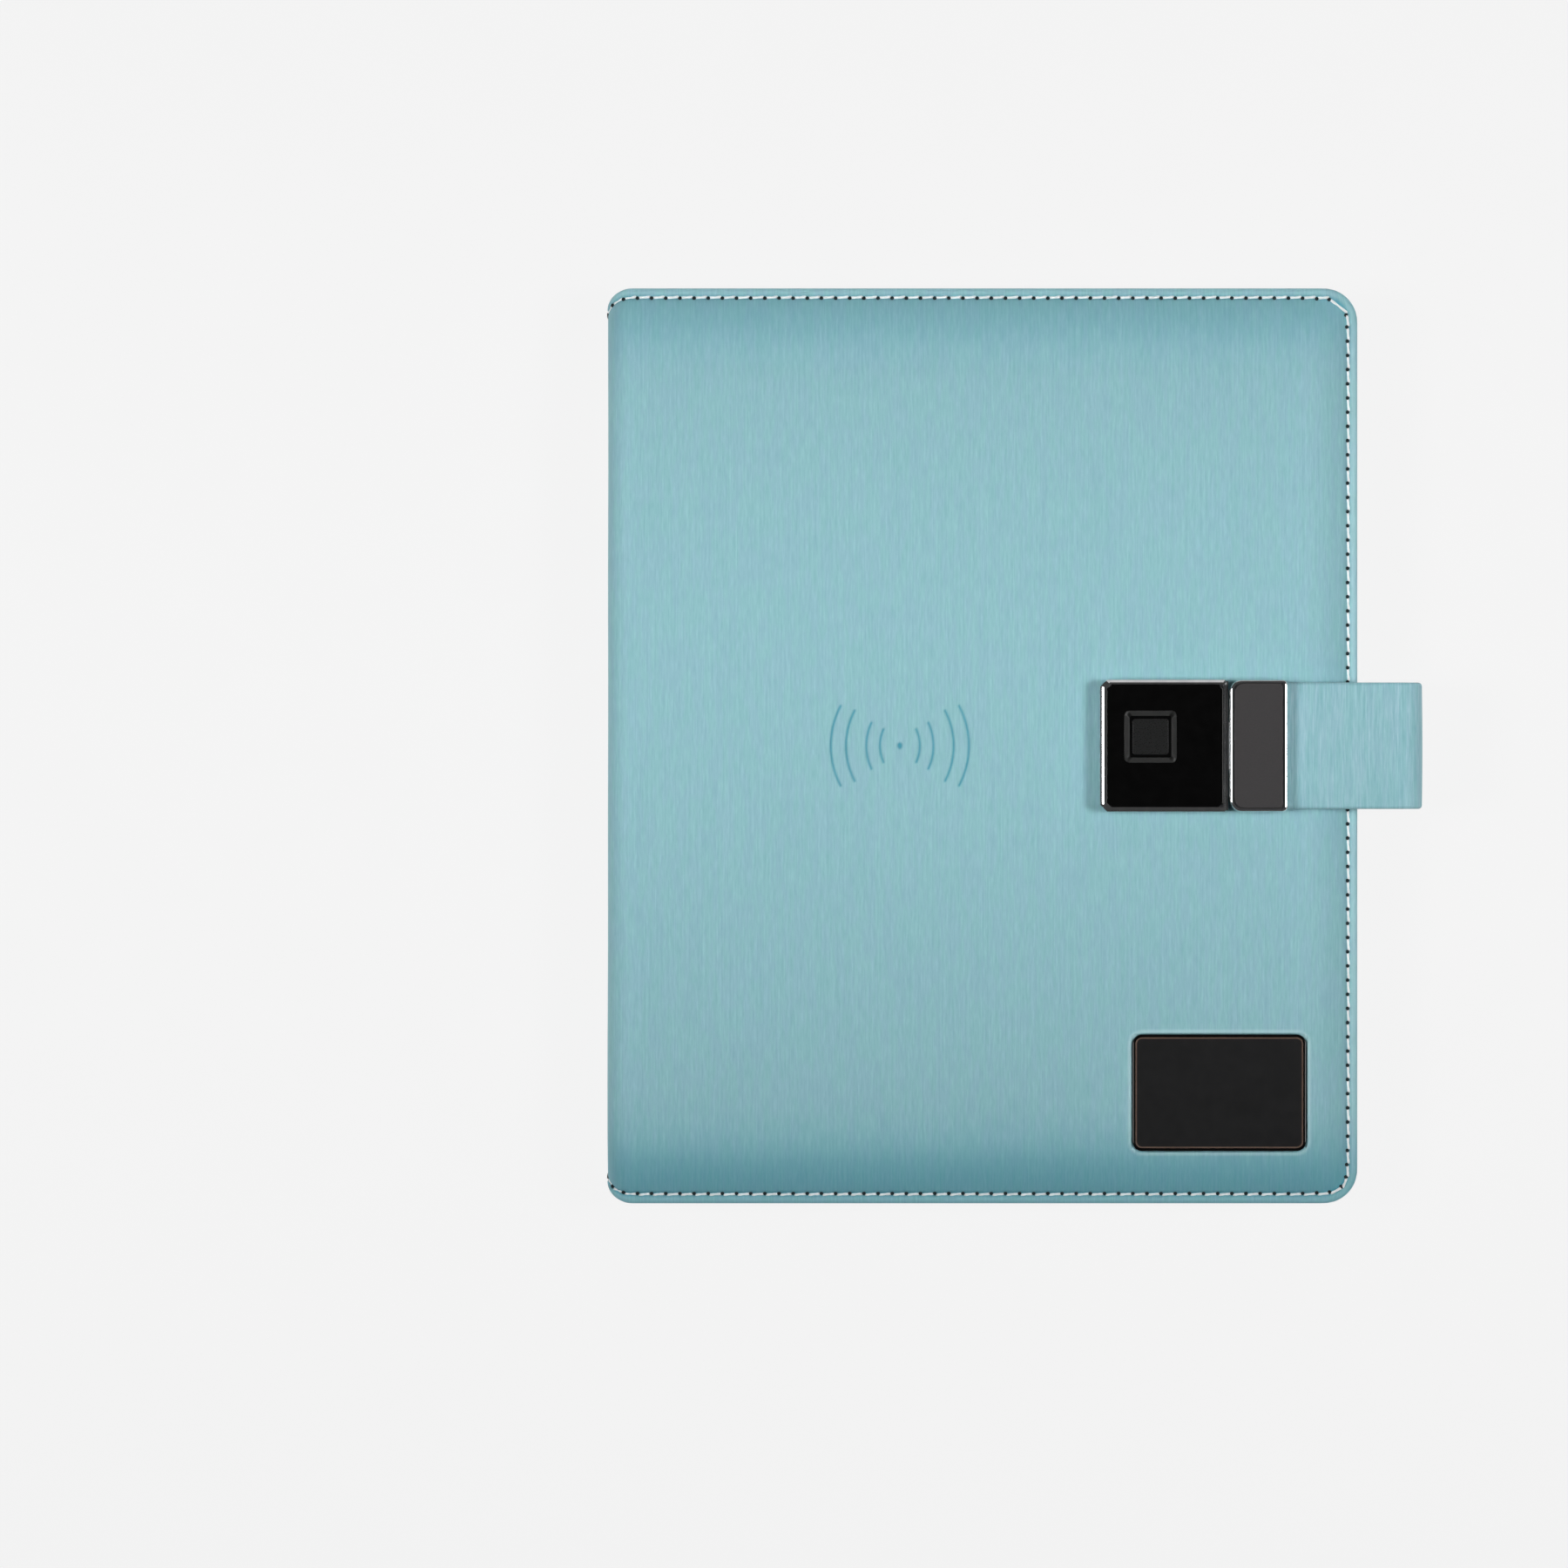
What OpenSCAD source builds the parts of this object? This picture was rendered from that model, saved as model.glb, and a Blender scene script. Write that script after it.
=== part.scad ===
// Ring-bound diary in a padded cover, with a fingerprint lock on a strap and a
// wireless power pack in the front cover. It lies closed on its back cover.
// X runs from the spine to the fore edge, Y up the page, Z up from the table.

/* [Cover outline] */
// Height of the covers along the spine
book_h = 235; // [222:1:260]
// Width from the back of the spine to the fore edge
book_w = 192.5; // [180:0.5:220]
// Corner radius of the covers at the fore edge
corner_r = 8.7; // [5:0.1:14]
// Free height between the two linings
inside_h = 19.7; // [19:0.1:30]

/* [Cover layers] */
// Thickness of the leather skin
skin_t = 1.2; // [0.8:0.1:1.8]
// Thickness of the stiff board in each cover
board_t = 2; // [1.5:0.1:3]
// Thickness of the lining sheet
lining_t = 0.8; // [0.5:0.1:1.2]
// Rise of the padding from the sewn edge to the middle of the front cover
crown_h = 6.8; // [6.4:0.1:9]
// Width of the sloping band from the sewn edge to the flat middle
crown_w = 20; // [14:0.5:26]
// How full the padding is at the sewn edge
crown_fullness = 2.5; // [1.5:0.1:4]
// Distance of the boards from the outer edge
board_inset = 2.5; // [2:0.1:5]

/* [Spine] */
// Outer radius of the rolled leather at both creases
roll_r = 6.2; // [5:0.1:8]
// Board thickness in the spine
spine_board_t = 1.4; // [1:0.1:2]
// Lining thickness in the spine
spine_lining_t = 0.6; // [0.4:0.1:0.9]
// Open slit left in each crease so that it can fold
crease_gap = 0.5; // [0.4:0.1:1]

/* [Ring mechanism] */
// Distance of the ring row from the back of the spine
rail_x = 20.25; // [19:0.25:30]
// Width of the steel rail
rail_w = 14; // [13:0.5:18]
// Height of the rail at its middle
rail_h = 4; // [3.8:0.1:5]
// How much shorter the rail is than the sheets
rail_short = 4; // [2:1:12]
// Sheet thickness of the rail
rail_wall = 0.7; // [0.5:0.1:1]
// Distance of the rail's rivets from its ends
rail_rivet_inset = 19; // [15:1:22]
// Radius of the rings to the middle of the wire
ring_r = 7.8; // [7:0.1:7.8]
// Height of the middle of the rings above the lining
ring_lift = 9.5; // [9.3:0.1:10.5]
// Radius of the bend that leads each wire from its blade into the ring
ring_elbow_r = 2.4; // [1.6:0.1:3]
// Diameter of the ring wire
wire_d = 2.4; // [2:0.1:2.6]
// Distance between neighbouring rings of one group
ring_pitch = 19; // [15:0.5:20]
// Distance between the two groups of three rings
ring_group_gap = 70; // [60:1:75]
// Thickness of the two hinged blades under the rail
blade_t = 0.6; // [0.4:0.1:0.8]
// Height of the blades above the lining
blade_lift = 1.5; // [1.3:0.1:1.7]
// How far the blades stop short of each end of the rail
blade_inset = 4; // [3:0.5:6]
// Radius of the pivot barrel on each end lever
lever_hub_r = 1; // [0.9:0.05:1.1]
// Diameter of the lever pins
lever_pin_d = 1; // [0.8:0.1:1.2]
// Height of the lever tabs above their pivot
lever_h = 6.9; // [5:0.1:8]
// Length of the lever tabs past their pivot
lever_len = 8.5; // [7:0.1:9]
// Length of the upturned end of the lever tabs
lever_tab = 3.8; // [3.4:0.1:4.2]
// Sheet thickness of the levers
lever_t = 1.2; // [0.8:0.1:1.4]

/* [Refill pad] */
// Width of the sheets
sheet_w = 142; // [120:1:148]
// Height of the sheets
sheet_h = 210; // [190:1:214]
// Thickness of the stack of sheets
pad_t = 8; // [5:0.5:8.5]
// Diameter of the punched holes
hole_d = 6; // [6:0.1:6.5]
// Distance from the hole's middle to the bound edge
hole_edge = 6; // [5:0.1:6.5]

/* [Card pockets] */
// Width of the card pockets
pocket_w = 96; // [88:1:100]
// Height of the lowest pocket, in front
pocket_h = 58; // [50:1:62]
// How far each pocket stands above the one in front of it
pocket_step = 17; // [12:1:20]
// Sheet thickness of the pockets
pocket_t = 0.3; // [0.2:0.1:0.3]
// Radius of the thumb notch in each pocket
thumb_r = 9; // [6:0.5:11]
// Distance of the pockets from the back of the spine
pocket_x = 42.25; // [38:0.25:50]
// Distance of the pockets from the bottom edge
pocket_y = 14; // [8:1:20]

/* [Power pack] */
// Distance from the back of the spine to the tray
tray_left = 18.25; // [17:0.25:20]
// Height of the tray along the spine
tray_h = 190; // [180:1:195]
// Thickness of the tray
tray_t = 5.1; // [5:0.1:5.3]
// Wall of the tray
tray_wall = 1.2; // [0.8:0.1:1.6]
// Floor of the tray
tray_floor = 0.6; // [0.4:0.1:0.6]
// Distance from the tray to the lock
tray_gap = 5.9; // [5.5:0.1:8]
// Thickness of the battery pouches
cell_t = 4.1; // [3:0.1:4.1]
// Height of each pouch along the spine
cell_h = 58; // [50:1:60]
// Distance of the charging coil from the tray's middle, towards the fore edge
coil_shift = 5.7; // [3:0.1:8]
// Outer radius of the charging coil
coil_r = 22; // [18:0.5:23]
// Inner radius of the charging coil
coil_r_in = 10; // [6:0.5:14]
// Thickness of the coil
coil_t = 0.9; // [0.6:0.1:1.2]
// Thickness of the ferrite sheet behind the coil
ferrite_t = 0.6; // [0.4:0.1:0.8]
// Thickness of the circuit boards
pcb_t = 0.8; // [0.6:0.1:1]

/* [Window] */
// Width of the black display window
window_w = 44.5; // [36:0.5:50]
// Height of the display window
window_h = 29.9; // [24:0.1:34]
// Corner radius of the window
window_r = 2.4; // [1:0.1:4]
// Distance of the window from the fore edge
window_edge_x = 13.4; // [12:0.1:20]
// Distance of the window from the bottom edge
window_edge_y = 13.6; // [12:0.1:20]
// Thickness of the window plate
window_t = 1.2; // [0.8:0.1:1.6]
// Height of the window above the leather
window_proud = 0.4; // [0.2:0.1:0.8]

/* [Port block] */
// Width of the port block
port_w = 12; // [11:0.5:14]
// Length of the port block along the fore edge
port_len = 36; // [32:1:44]
// Thickness of the port block
port_t = 8; // [7:0.1:9]
// Distance of the port block from the middle, up the page
port_y = 58; // [45:1:75]
// Distance of the socket from the middle of the block, down the page
socket_shift = 7; // [6:0.5:9]
// Distance of the button from the middle of the block, up the page
button_shift = 9; // [7:0.5:11]
// Diameter of the power button
button_d = 5; // [4:0.1:6]
// Travel of the power button
button_travel = 0.6; // [0.4:0.1:1]

/* [Lock] */
// Width of the lock body
lock_w = 31.3; // [29:0.1:36]
// Height of the lock body along the spine
lock_h = 33.7; // [31:0.1:38]
// Distance of the lock body from the fore edge
lock_edge_x = 35.05; // [33:0.05:45]
// Height of the lock frame above its base plate
lock_t = 6.3; // [6:0.1:7]
// Thickness of the base plate under the lock
lock_base_t = 0.7; // [0.5:0.1:1]
// Chamfer at the corners of the lock
lock_chamfer = 1.8; // [1:0.1:3]
// Visible rim at the sides of the lock panel
lock_rim = 1.1; // [0.9:0.1:1.6]
// Visible rim at the spine side of the lock panel
lock_rim_left = 1.6; // [1:0.1:2]
// Rim between the panel and the clasp head
lock_rim_right = 0.6; // [0.5:0.1:1]
// Thickness of the glossy lock panel
panel_t = 1.1; // [0.8:0.1:1.2]
// Distance of the sensor from the spine side of the lock
sensor_x = 12.9; // [11:0.1:16]
// Distance of the sensor above the middle of the lock, up the page
sensor_y = 2.3; // [0:0.1:4]
// Outer size of the sensor bezel
sensor_w = 13.4; // [12:0.1:15]
// Size of the sensor pad
sensor_pad_w = 9.2; // [8:0.1:10]
// Diameter of the bolt
bolt_d = 2.4; // [1.8:0.1:2.6]
// Travel of the bolt into the clasp head
bolt_travel = 2.5; // [2:0.1:2.5]
// Diameter of the lead screw
screw_d = 1.6; // [1.2:0.1:1.8]
// Diameter of the lock motor
motor_d = 4; // [3.4:0.1:4.2]
// Length of the lock motor
motor_len = 9; // [7:0.5:9]

/* [Clasp head] */
// Width of the clasp head
head_w = 16.5; // [15:0.1:20]
// Height of the head above the top of the cover
head_rise = 9; // [8.6:0.1:10]
// Gap between the lock body and the clasp head
head_gap = 0.5; // [0.4:0.1:1]
// Width of the sloping flank beside the lock panel
head_flank = 2; // [1:0.1:2.6]
// Corner radius of the head beside the lock panel
head_r_left = 3; // [1.5:0.1:5]
// Corner radius of the head beside the strap
head_r_right = 1.5; // [0.8:0.1:3]
// Thickness of the grey top plate
head_plate_t = 0.7; // [0.5:0.1:1]
// Thickness of the clamp plate under the strap
clamp_t = 0.6; // [0.5:0.1:0.7]
// Thickness of the striker plate
striker_t = 1; // [0.8:0.1:1.2]
// Width of the striker plate
striker_w = 12; // [8:0.5:16]

/* [Strap] */
// Width of the strap
strap_w = 32.4; // [26:0.1:34]
// Thickness of the strap
strap_t = 2.6; // [2:0.1:2.8]
// Length of the strap that is sewn into the back cover
strap_tongue = 14; // [8:0.5:20]
// Distance that the strap stands off the fore edge
strap_reach = 16.35; // [14:0.05:22]
// Height of the strap above the top of the cover
strap_lift = 1.5; // [1.5:0.1:2]
// Height of the strap's outer face above the table
strap_foot = 0.6; // [0.4:0.1:1]
// Outer radius of the strap where it bends
strap_bend_r = 5.3; // [4.5:0.1:7]
// Open slit left at each bend so that it can fold
strap_gap = 0.5; // [0.4:0.1:1]

/* [Clearances] */
// Gap between parts that are laid or glued together
fit = 0.1; // [0.05:0.01:0.15]
// Radial clearance of pins and shafts
run = 0.05; // [0.03:0.01:0.1]

/* [Hidden] */
$fn = 48;
// Overshoot of a cut past the face that it opens
cut = 0.2;

// Levels of the covers
x_spine = -book_w / 2;
x_fore = book_w / 2;
y_edge = book_h / 2;
back_t = skin_t + board_t + lining_t;
z_front = back_t + inside_h;
z_rim = z_front + back_t;
z_top = z_rim + crown_h;
z_board = z_front + lining_t;
z_core = z_board + board_t;
x_cover = x_spine + roll_r;

// Spine panel and its creases, folded about the middle of its thickness
spine_t = skin_t + spine_board_t + spine_lining_t;
fold_in = spine_t / 2;
crease_low = roll_r + crease_gap;
crease_high = z_top - roll_r - crease_gap;

// Strap levels, folded about the middle of its thickness
x_strap = x_fore + strap_reach;
z_strap = z_top + strap_lift;
z_strap_top = z_strap + strap_t;

// Lock and clasp head
x_lock = x_fore - lock_edge_x - lock_w;
x_lock_end = x_lock + lock_w;
z_lock = z_top + lock_base_t;
z_panel = z_lock + lock_t - panel_t;
lock_ledge = 0.8;
post_r = 2.2;
x_room = x_lock + lock_rim_left + lock_ledge;
x_room_end = x_lock_end - lock_rim_right - lock_ledge;
y_room = lock_h / 2 - lock_rim - lock_ledge;
z_bolt = z_lock + motor_d / 2 + 0.4;
screw_inset = lock_rim + lock_ledge + post_r - 0.4;
lock_screw_d = 2;
x_head = x_lock_end + head_gap;
x_head_end = x_head + head_w;
z_head = z_top + 0.8;
z_head_top = z_top + head_rise;
x_striker = x_head + 1.2;
x_head_pocket = x_striker + striker_t + 1.1;
rivet_d = 2;
carriage_len = 4.5;
carriage_x = x_room_end - bolt_travel - carriage_len - 0.3;
x_motor_end = carriage_x - 1.5;

// Ring mechanism
x_ring = x_spine + rail_x;
z_rail = back_t;
rail_len = sheet_h - rail_short;
z_ring = z_rail + ring_lift;
z_pivot = z_rail + blade_lift;
blade_reach = rail_w / 2 - 1;
stub_x = blade_reach - 0.5;
stub_turn = acos((stub_x + ring_elbow_r) / (ring_r + ring_elbow_r));
ring_split = 0.15;
ring_split_turn = asin(ring_split / ring_r);
ring_places = [for (side = [-1, 1]) for (k = [0:2]) side * (ring_group_gap / 2 + k * ring_pitch)];
rail_crown_r = 26;
y_lever = rail_len / 2 - 1;
z_lever = z_rail + lever_hub_r + 0.6;
lever_half_w = rail_w / 2 - 2;
rail_rivet_y = rail_len / 2 - rail_rivet_inset;
rail_rivet_d = 3.2;

// Refill pad
x_bound = x_ring + ring_r - 0.2 - hole_edge;
z_pad = z_rail + 5.2;
pad_bend_x = x_ring + rail_w / 2 + 6;
pad_bend_run = 15;

// Power pack in the front cover
x_tray = x_spine + tray_left;
tray_w = x_lock - tray_gap - x_tray;
x_coil = x_tray + tray_w / 2 + coil_shift;
x_window = x_fore - window_edge_x - window_w / 2;
y_window = -y_edge + window_edge_y + window_h / 2;

// Port block inside the fore edge
x_port = x_fore - board_inset - port_w - 0.75;
socket_w = 8.9;
socket_h = 3.2;
socket_len = 7.3;
y_socket = port_y - socket_shift;
y_button = port_y + button_shift;
z_port = z_front - port_t / 2;

// Plate with two rounded corners at the fore edge, inset all round but at its straight left edge
module cover_outline(left, inset) {
  r = max(corner_r - inset, 1);
  right = x_fore - inset;
  half = y_edge - inset;
  union() {
    translate([left, -half]) square([right - r - left, 2 * half]);
    translate([left, -half + r]) square([right - left, 2 * (half - r)]);
    for (side = [-1, 1]) translate([right - r, side * (half - r)]) circle(r);
  }
}

module cover_sheet(left, inset, low, high) {
  translate([0, 0, low]) linear_extrude(high - low) cover_outline(left, inset);
}

// Height of the padded surface at a distance in from the sewn edge
function crown_z(d) = crown_h * (1 - pow(1 - min(d / crown_w, 1), crown_fullness));

// Padded block from the sewn edge inward, drawn in by the skin thickness where asked. With a run_on above 1
// its last slope goes on above the flat middle, and the section of the cover cuts it off there
module crown_block(left, inset, drop, low, run_on = 1) {
  steps = [0, 0.05, 0.14, 0.25, 0.4, 0.6];
  last = 0.6;
  rise = (crown_h - crown_z(last * crown_w)) / (1 - last);
  hull() {
    cover_sheet(left, inset, low, z_rim - drop, $fn = 32);
    for (s = steps) {
      level = z_rim - drop + crown_z(s * crown_w);
      cover_sheet(left, inset + s * crown_w, level - 0.01, level, $fn = 32);
    }
    top = z_top - drop + rise * (run_on - 1);
    cover_sheet(left, inset + run_on * crown_w, top - 0.01, top, $fn = 32);
  }
}

// Slab along the whole spine whose profile in X and Z is given by its children
module along_spine(half) {
  translate([0, half, 0]) rotate([90, 0, 0]) linear_extrude(2 * half) children();
}

// Quarter of a disc and of a ring in the X and Z plane, turned to face a corner
module quarter_disc(x, z, r, turn) {
  translate([x, z]) intersection() {
    circle(r, $fn = 96);
    rotate(turn) square(2 * r);
  }
}

module quarter_ring(x, z, r, wall, turn) {
  difference() {
    quarter_disc(x, z, r, turn);
    translate([x, z]) circle(r - wall, $fn = 96);
  }
}

// Rectangle with rounded corners about the origin
module rounded(w, h, r) {
  union() {
    square([w - 2 * r, h], center = true);
    square([w, h - 2 * r], center = true);
    for (a = [-1, 1]) for (b = [-1, 1]) {
      translate([a * (w / 2 - r), b * (h / 2 - r)]) circle(r);
    }
  }
}

// Rectangle with cut corners about the origin
module chamfered(w, h, c) {
  polygon([
    [-w / 2 + c, -h / 2], [w / 2 - c, -h / 2], [w / 2, -h / 2 + c], [w / 2, h / 2 - c],
    [w / 2 - c, h / 2], [-w / 2 + c, h / 2], [-w / 2, h / 2 - c], [-w / 2, -h / 2 + c]
  ]);
}

// The four screw places of the lock
module at_lock_screws() {
  for (x = [x_lock + screw_inset, x_lock_end - screw_inset]) {
    for (side = [-1, 1]) translate([x, side * (lock_h / 2 - screw_inset), 0]) children();
  }
}

// The two rivets that hold the strap in the clasp head
module at_head_rivets() {
  for (side = [-1, 1]) {
    translate([(x_head_pocket + x_head_end) / 2, side * strap_w / 4, 0]) children();
  }
}

// Bar along X with a round section
module bar_x(x1, x2, y, z, d) {
  translate([x1, y, z]) rotate([0, 90, 0]) cylinder(d = d, h = x2 - x1);
}

// Front cover, from outside to inside

// The sewn edges close the ends of the roll; the lining closes the skin from below
module front_skin() {
  color("#94c2c8") difference() {
    intersection() {
      crown_block(x_spine, 0, 0, z_front, 1.2);
      front_section(0);
    }
    intersection() {
      crown_block(x_spine + skin_t, skin_t, skin_t, z_front - cut, 1.2);
      front_section(skin_t);
    }
    window_pocket(z_top - window_t + window_proud, 0);
    window_pocket(z_core, 2);
    at_lock_screws() cylinder(r = post_r + fit, h = z_top + cut);
  }
}

// Section of the front cover, square at the fore edge and rolled at the spine
module front_section(inset) {
  open = inset > 0 ? cut : 0;
  z_roll = z_top - roll_r;
  along_spine(y_edge + cut) union() {
    translate([x_cover, z_front - open]) square([book_w, z_top - inset - z_front + open]);
    quarter_disc(x_cover, z_roll, roll_r - inset, 90);
    if (open > 0) translate([x_spine + inset, z_roll - open]) square([roll_r - inset, open]);
    if (open > 0) translate([x_cover - open, z_front - open]) square([open, z_roll - z_front + 1]);
  }
}

module window_pocket(low, ledge) {
  w = window_w + 2 * fit - 2 * ledge;
  h = window_h + 2 * fit - 2 * ledge;
  translate([x_window, y_window, low]) linear_extrude(z_top + cut - low) rounded(w, h, window_r + fit);
}

module front_foam() {
  color("#d9d4c4") difference() {
    crown_block(x_cover, skin_t + fit, skin_t + fit, z_front);
    translate([-book_w, -book_h, z_front - cut]) cube([2 * book_w, 2 * book_h, z_core - z_front + cut]);
    translate([x_tray - fit, -tray_h / 2 - fit, z_core - cut]) {
      cube([tray_w + 2 * fit, tray_h + 2 * fit, tray_t + fit + cut]);
    }
    window_pocket(z_core - cut, 0);
    at_lock_screws() cylinder(r = post_r + fit, h = z_top + cut);
  }
}

module front_board() {
  color("#8a7f70") difference() {
    cover_sheet(x_cover + 1, board_inset, z_board, z_core);
    at_lock_screws() cylinder(d = lock_screw_d + 2 * fit, h = z_top);
    at_lock_screws() translate([0, 0, z_board - cut]) cylinder(d = 2 * lock_screw_d, h = 1 + cut);
  }
}

module front_lining() {
  color("#6f8a90") cover_sheet(x_cover, skin_t + fit, z_front, z_board);
}

// Four card pockets, each lying on the one behind it and open at its upper edge
module card_pockets() {
  color("#7b979d") for (k = [0:3]) {
    h = pocket_h + (3 - k) * pocket_step;
    translate([x_spine + pocket_x, -y_edge + pocket_y, z_front - (k + 1) * pocket_t]) {
      linear_extrude(pocket_t) difference() {
        square([pocket_w, h]);
        translate([pocket_w / 2, h]) circle(thumb_r);
      }
    }
  }
}

// Wireless power pack

module power_tray() {
  color("#2a2a2c") difference() {
    translate([x_tray, -tray_h / 2, z_core]) cube([tray_w, tray_h, tray_t]);
    translate([x_tray + tray_wall, -tray_h / 2 + tray_wall, z_core + tray_floor]) {
      cube([tray_w - 2 * tray_wall, tray_h - 2 * tray_wall, tray_t]);
    }
  }
}

module battery_cells() {
  cell_w = tray_w - 2 * tray_wall - 4;
  y_cell = tray_h / 2 - tray_wall - 2 - cell_h / 2;
  color("#b9bcc0") for (side = [-1, 1]) {
    translate([x_tray + tray_wall + 2 + cell_w / 2, side * y_cell, z_core + tray_floor]) {
      linear_extrude(cell_t) rounded(cell_w, cell_h, 2);
    }
  }
}

module charge_board() {
  x1 = x_coil + coil_r + 2;
  x2 = x_tray + tray_w - tray_wall - 1;
  chip = [6, 6, 1];
  inductor = [5, 5, 2.2];
  color("#1f5a3c") translate([0, 0, z_core + tray_floor]) {
    translate([x1, -coil_r, 0]) cube([x2 - x1, 2 * coil_r, pcb_t]);
    translate([(x1 + x2 - chip.x) / 2, -coil_r / 2 - chip.y, pcb_t]) cube(chip);
    translate([(x1 + x2 - inductor.x) / 2, coil_r / 4, pcb_t]) cube(inductor);
  }
}

module ferrite_sheet() {
  top = z_core + tray_t - coil_t;
  color("#3c3a38") translate([x_coil, 0, z_core + tray_floor]) {
    linear_extrude(top - z_core - tray_floor - ferrite_t) square(1.5 * coil_r, center = true);
    translate([0, 0, top - z_core - tray_floor - ferrite_t]) cylinder(r = coil_r + 0.8, h = ferrite_t);
  }
}

// Flat winding, with a groove between its turns of wire
module charge_coil() {
  turns = 6;
  pitch = (coil_r - coil_r_in) / turns;
  color("#b5683a") translate([x_coil, 0, z_core + tray_t - coil_t]) difference() {
    cylinder(r = coil_r, h = coil_t);
    translate([0, 0, -cut]) cylinder(r = coil_r_in, h = coil_t + 2 * cut);
    for (k = [1:turns - 1]) translate([0, 0, coil_t - 0.3]) difference() {
      cylinder(r = coil_r_in + k * pitch + 0.1, h = 1);
      translate([0, 0, -cut]) cylinder(r = coil_r_in + k * pitch - 0.1, h = 2);
    }
  }
}

module window_plate() {
  color("#1f1f1f") difference() {
    translate([x_window, y_window, z_top - window_t + window_proud]) {
      linear_extrude(window_t) rounded(window_w, window_h, window_r);
    }
    translate([x_window, y_window, z_top + window_proud - 0.15]) linear_extrude(1) difference() {
      rounded(window_w - 1.6, window_h - 1.6, window_r - 0.8);
      rounded(window_w - 2.2, window_h - 2.2, window_r - 1);
    }
  }
}

module display_board() {
  lamp_w = 3;
  lamp_pitch = 8;
  lamp_h = z_top - window_t + window_proud - z_core - pcb_t - fit;
  color("#1f5a3c") translate([x_window, y_window, z_core]) {
    linear_extrude(pcb_t) rounded(window_w - 4, window_h - 4, 1);
    for (k = [-1.5:1.5]) translate([k * lamp_pitch, 0, pcb_t]) {
      linear_extrude(lamp_h) square(lamp_w, center = true);
    }
  }
}

// Port block on the inside of the front cover, open towards the fore edge

module port_block() {
  color("#202123") difference() {
    translate([x_port + port_w / 2, port_y, z_front - port_t]) {
      linear_extrude(port_t) rounded(port_w, port_len, 2);
    }
    translate([x_port + port_w - socket_len - fit, y_socket, z_port]) rotate([90, 0, 90]) {
      linear_extrude(socket_len + 1) rounded(socket_w + 2 * fit, socket_h + 2 * fit, socket_h / 2);
    }
    bar_x(x_port + port_w - 3.5, x_port + port_w + 1, y_button, z_port, button_d + 4 * run);
  }
}

module usb_socket() {
  tongue_w = 6.7;
  tongue_t = 0.7;
  color("#c4c6c8") translate([x_port + port_w - socket_len, y_socket, z_port]) rotate([90, 0, 90]) {
    difference() {
      linear_extrude(socket_len) rounded(socket_w, socket_h, socket_h / 2 - 0.05);
      translate([0, 0, 1]) linear_extrude(socket_len) {
        rounded(socket_w - 0.6, socket_h - 0.6, socket_h / 2 - 0.35);
      }
    }
    linear_extrude(socket_len - 1) square([tongue_w, tongue_t], center = true);
  }
}

module power_button() {
  x_face = x_port + port_w + 0.3;
  color("#3a3c3f") union() {
    bar_x(x_face - button_travel - 1.6, x_face, y_button, z_port, button_d);
    bar_x(x_face, x_face + 0.3, y_button, z_port, button_d - 1);
  }
}

// Fingerprint lock

module lock_housing() {
  color("#c9c9c9") difference() {
    translate([x_lock + lock_w / 2, 0, z_lock]) linear_extrude(lock_t) {
      chamfered(lock_w, lock_h, lock_chamfer);
    }
    difference() {
      translate([x_room, -y_room, z_lock - cut]) {
        cube([x_room_end - x_room, 2 * y_room, z_panel - z_lock + 2 * cut]);
      }
      at_lock_screws() cylinder(r = post_r, h = z_panel);
    }
    panel_recess(0);
    at_lock_screws() translate([0, 0, z_lock - cut]) {
      cylinder(d = lock_screw_d + run, h = z_panel - z_lock - 0.8 + cut);
    }
    bar_x(x_room_end - cut, x_lock_end + cut, 0, z_bolt, bolt_d + 2 * run);
  }
}

// The panel and the recess that it lies in
module panel_recess(gap) {
  x1 = x_lock + lock_rim_left + gap;
  x2 = x_lock_end - lock_rim_right - gap;
  half = lock_h / 2 - lock_rim - gap;
  translate([(x1 + x2) / 2, 0, z_panel]) {
    linear_extrude(panel_t + cut) chamfered(x2 - x1, 2 * half, lock_chamfer - lock_rim / 2);
  }
}

module lock_base() {
  color("#1c1c1d") union() {
    difference() {
      translate([x_lock + lock_w / 2, 0, z_top]) {
        linear_extrude(lock_base_t) chamfered(lock_w - 0.6, lock_h - 0.6, lock_chamfer);
      }
      at_lock_screws() cylinder(d = lock_screw_d + 2 * fit, h = z_lock + cut);
    }
    at_lock_screws() translate([0, 0, z_core]) difference() {
      cylinder(r = post_r, h = z_lock - z_core);
      translate([0, 0, -cut]) cylinder(d = lock_screw_d + 2 * fit, h = z_lock - z_core + 2 * cut);
    }
  }
}

module lock_panel() {
  color("#0b0a0b") difference() {
    panel_recess(fit / 2);
    translate([0, 0, z_lock + lock_t - 0.2]) linear_extrude(2) square(2 * book_w, center = true);
    at_sensor(z_panel - cut) rounded(sensor_pad_w + 2 * fit, sensor_pad_w + 2 * fit, 1);
  }
}

// Sensor outline raised from a level; it sits towards the spine and a little up the page
module at_sensor(low, h = 3) {
  translate([x_lock + sensor_x, sensor_y, low]) linear_extrude(h) children();
}

module sensor_frame() {
  color("#2e2e2d") difference() {
    at_sensor(z_lock + lock_t - 0.2, 0.4) rounded(sensor_w, sensor_w, 1.4);
    at_sensor(z_lock + lock_t - cut - 0.2) rounded(sensor_w - 2.4, sensor_w - 2.4, 0.8);
  }
}

module sensor_pad() {
  color("#1f1f1e") at_sensor(z_panel, panel_t - 0.1) rounded(sensor_pad_w, sensor_pad_w, 0.9);
}

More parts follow.
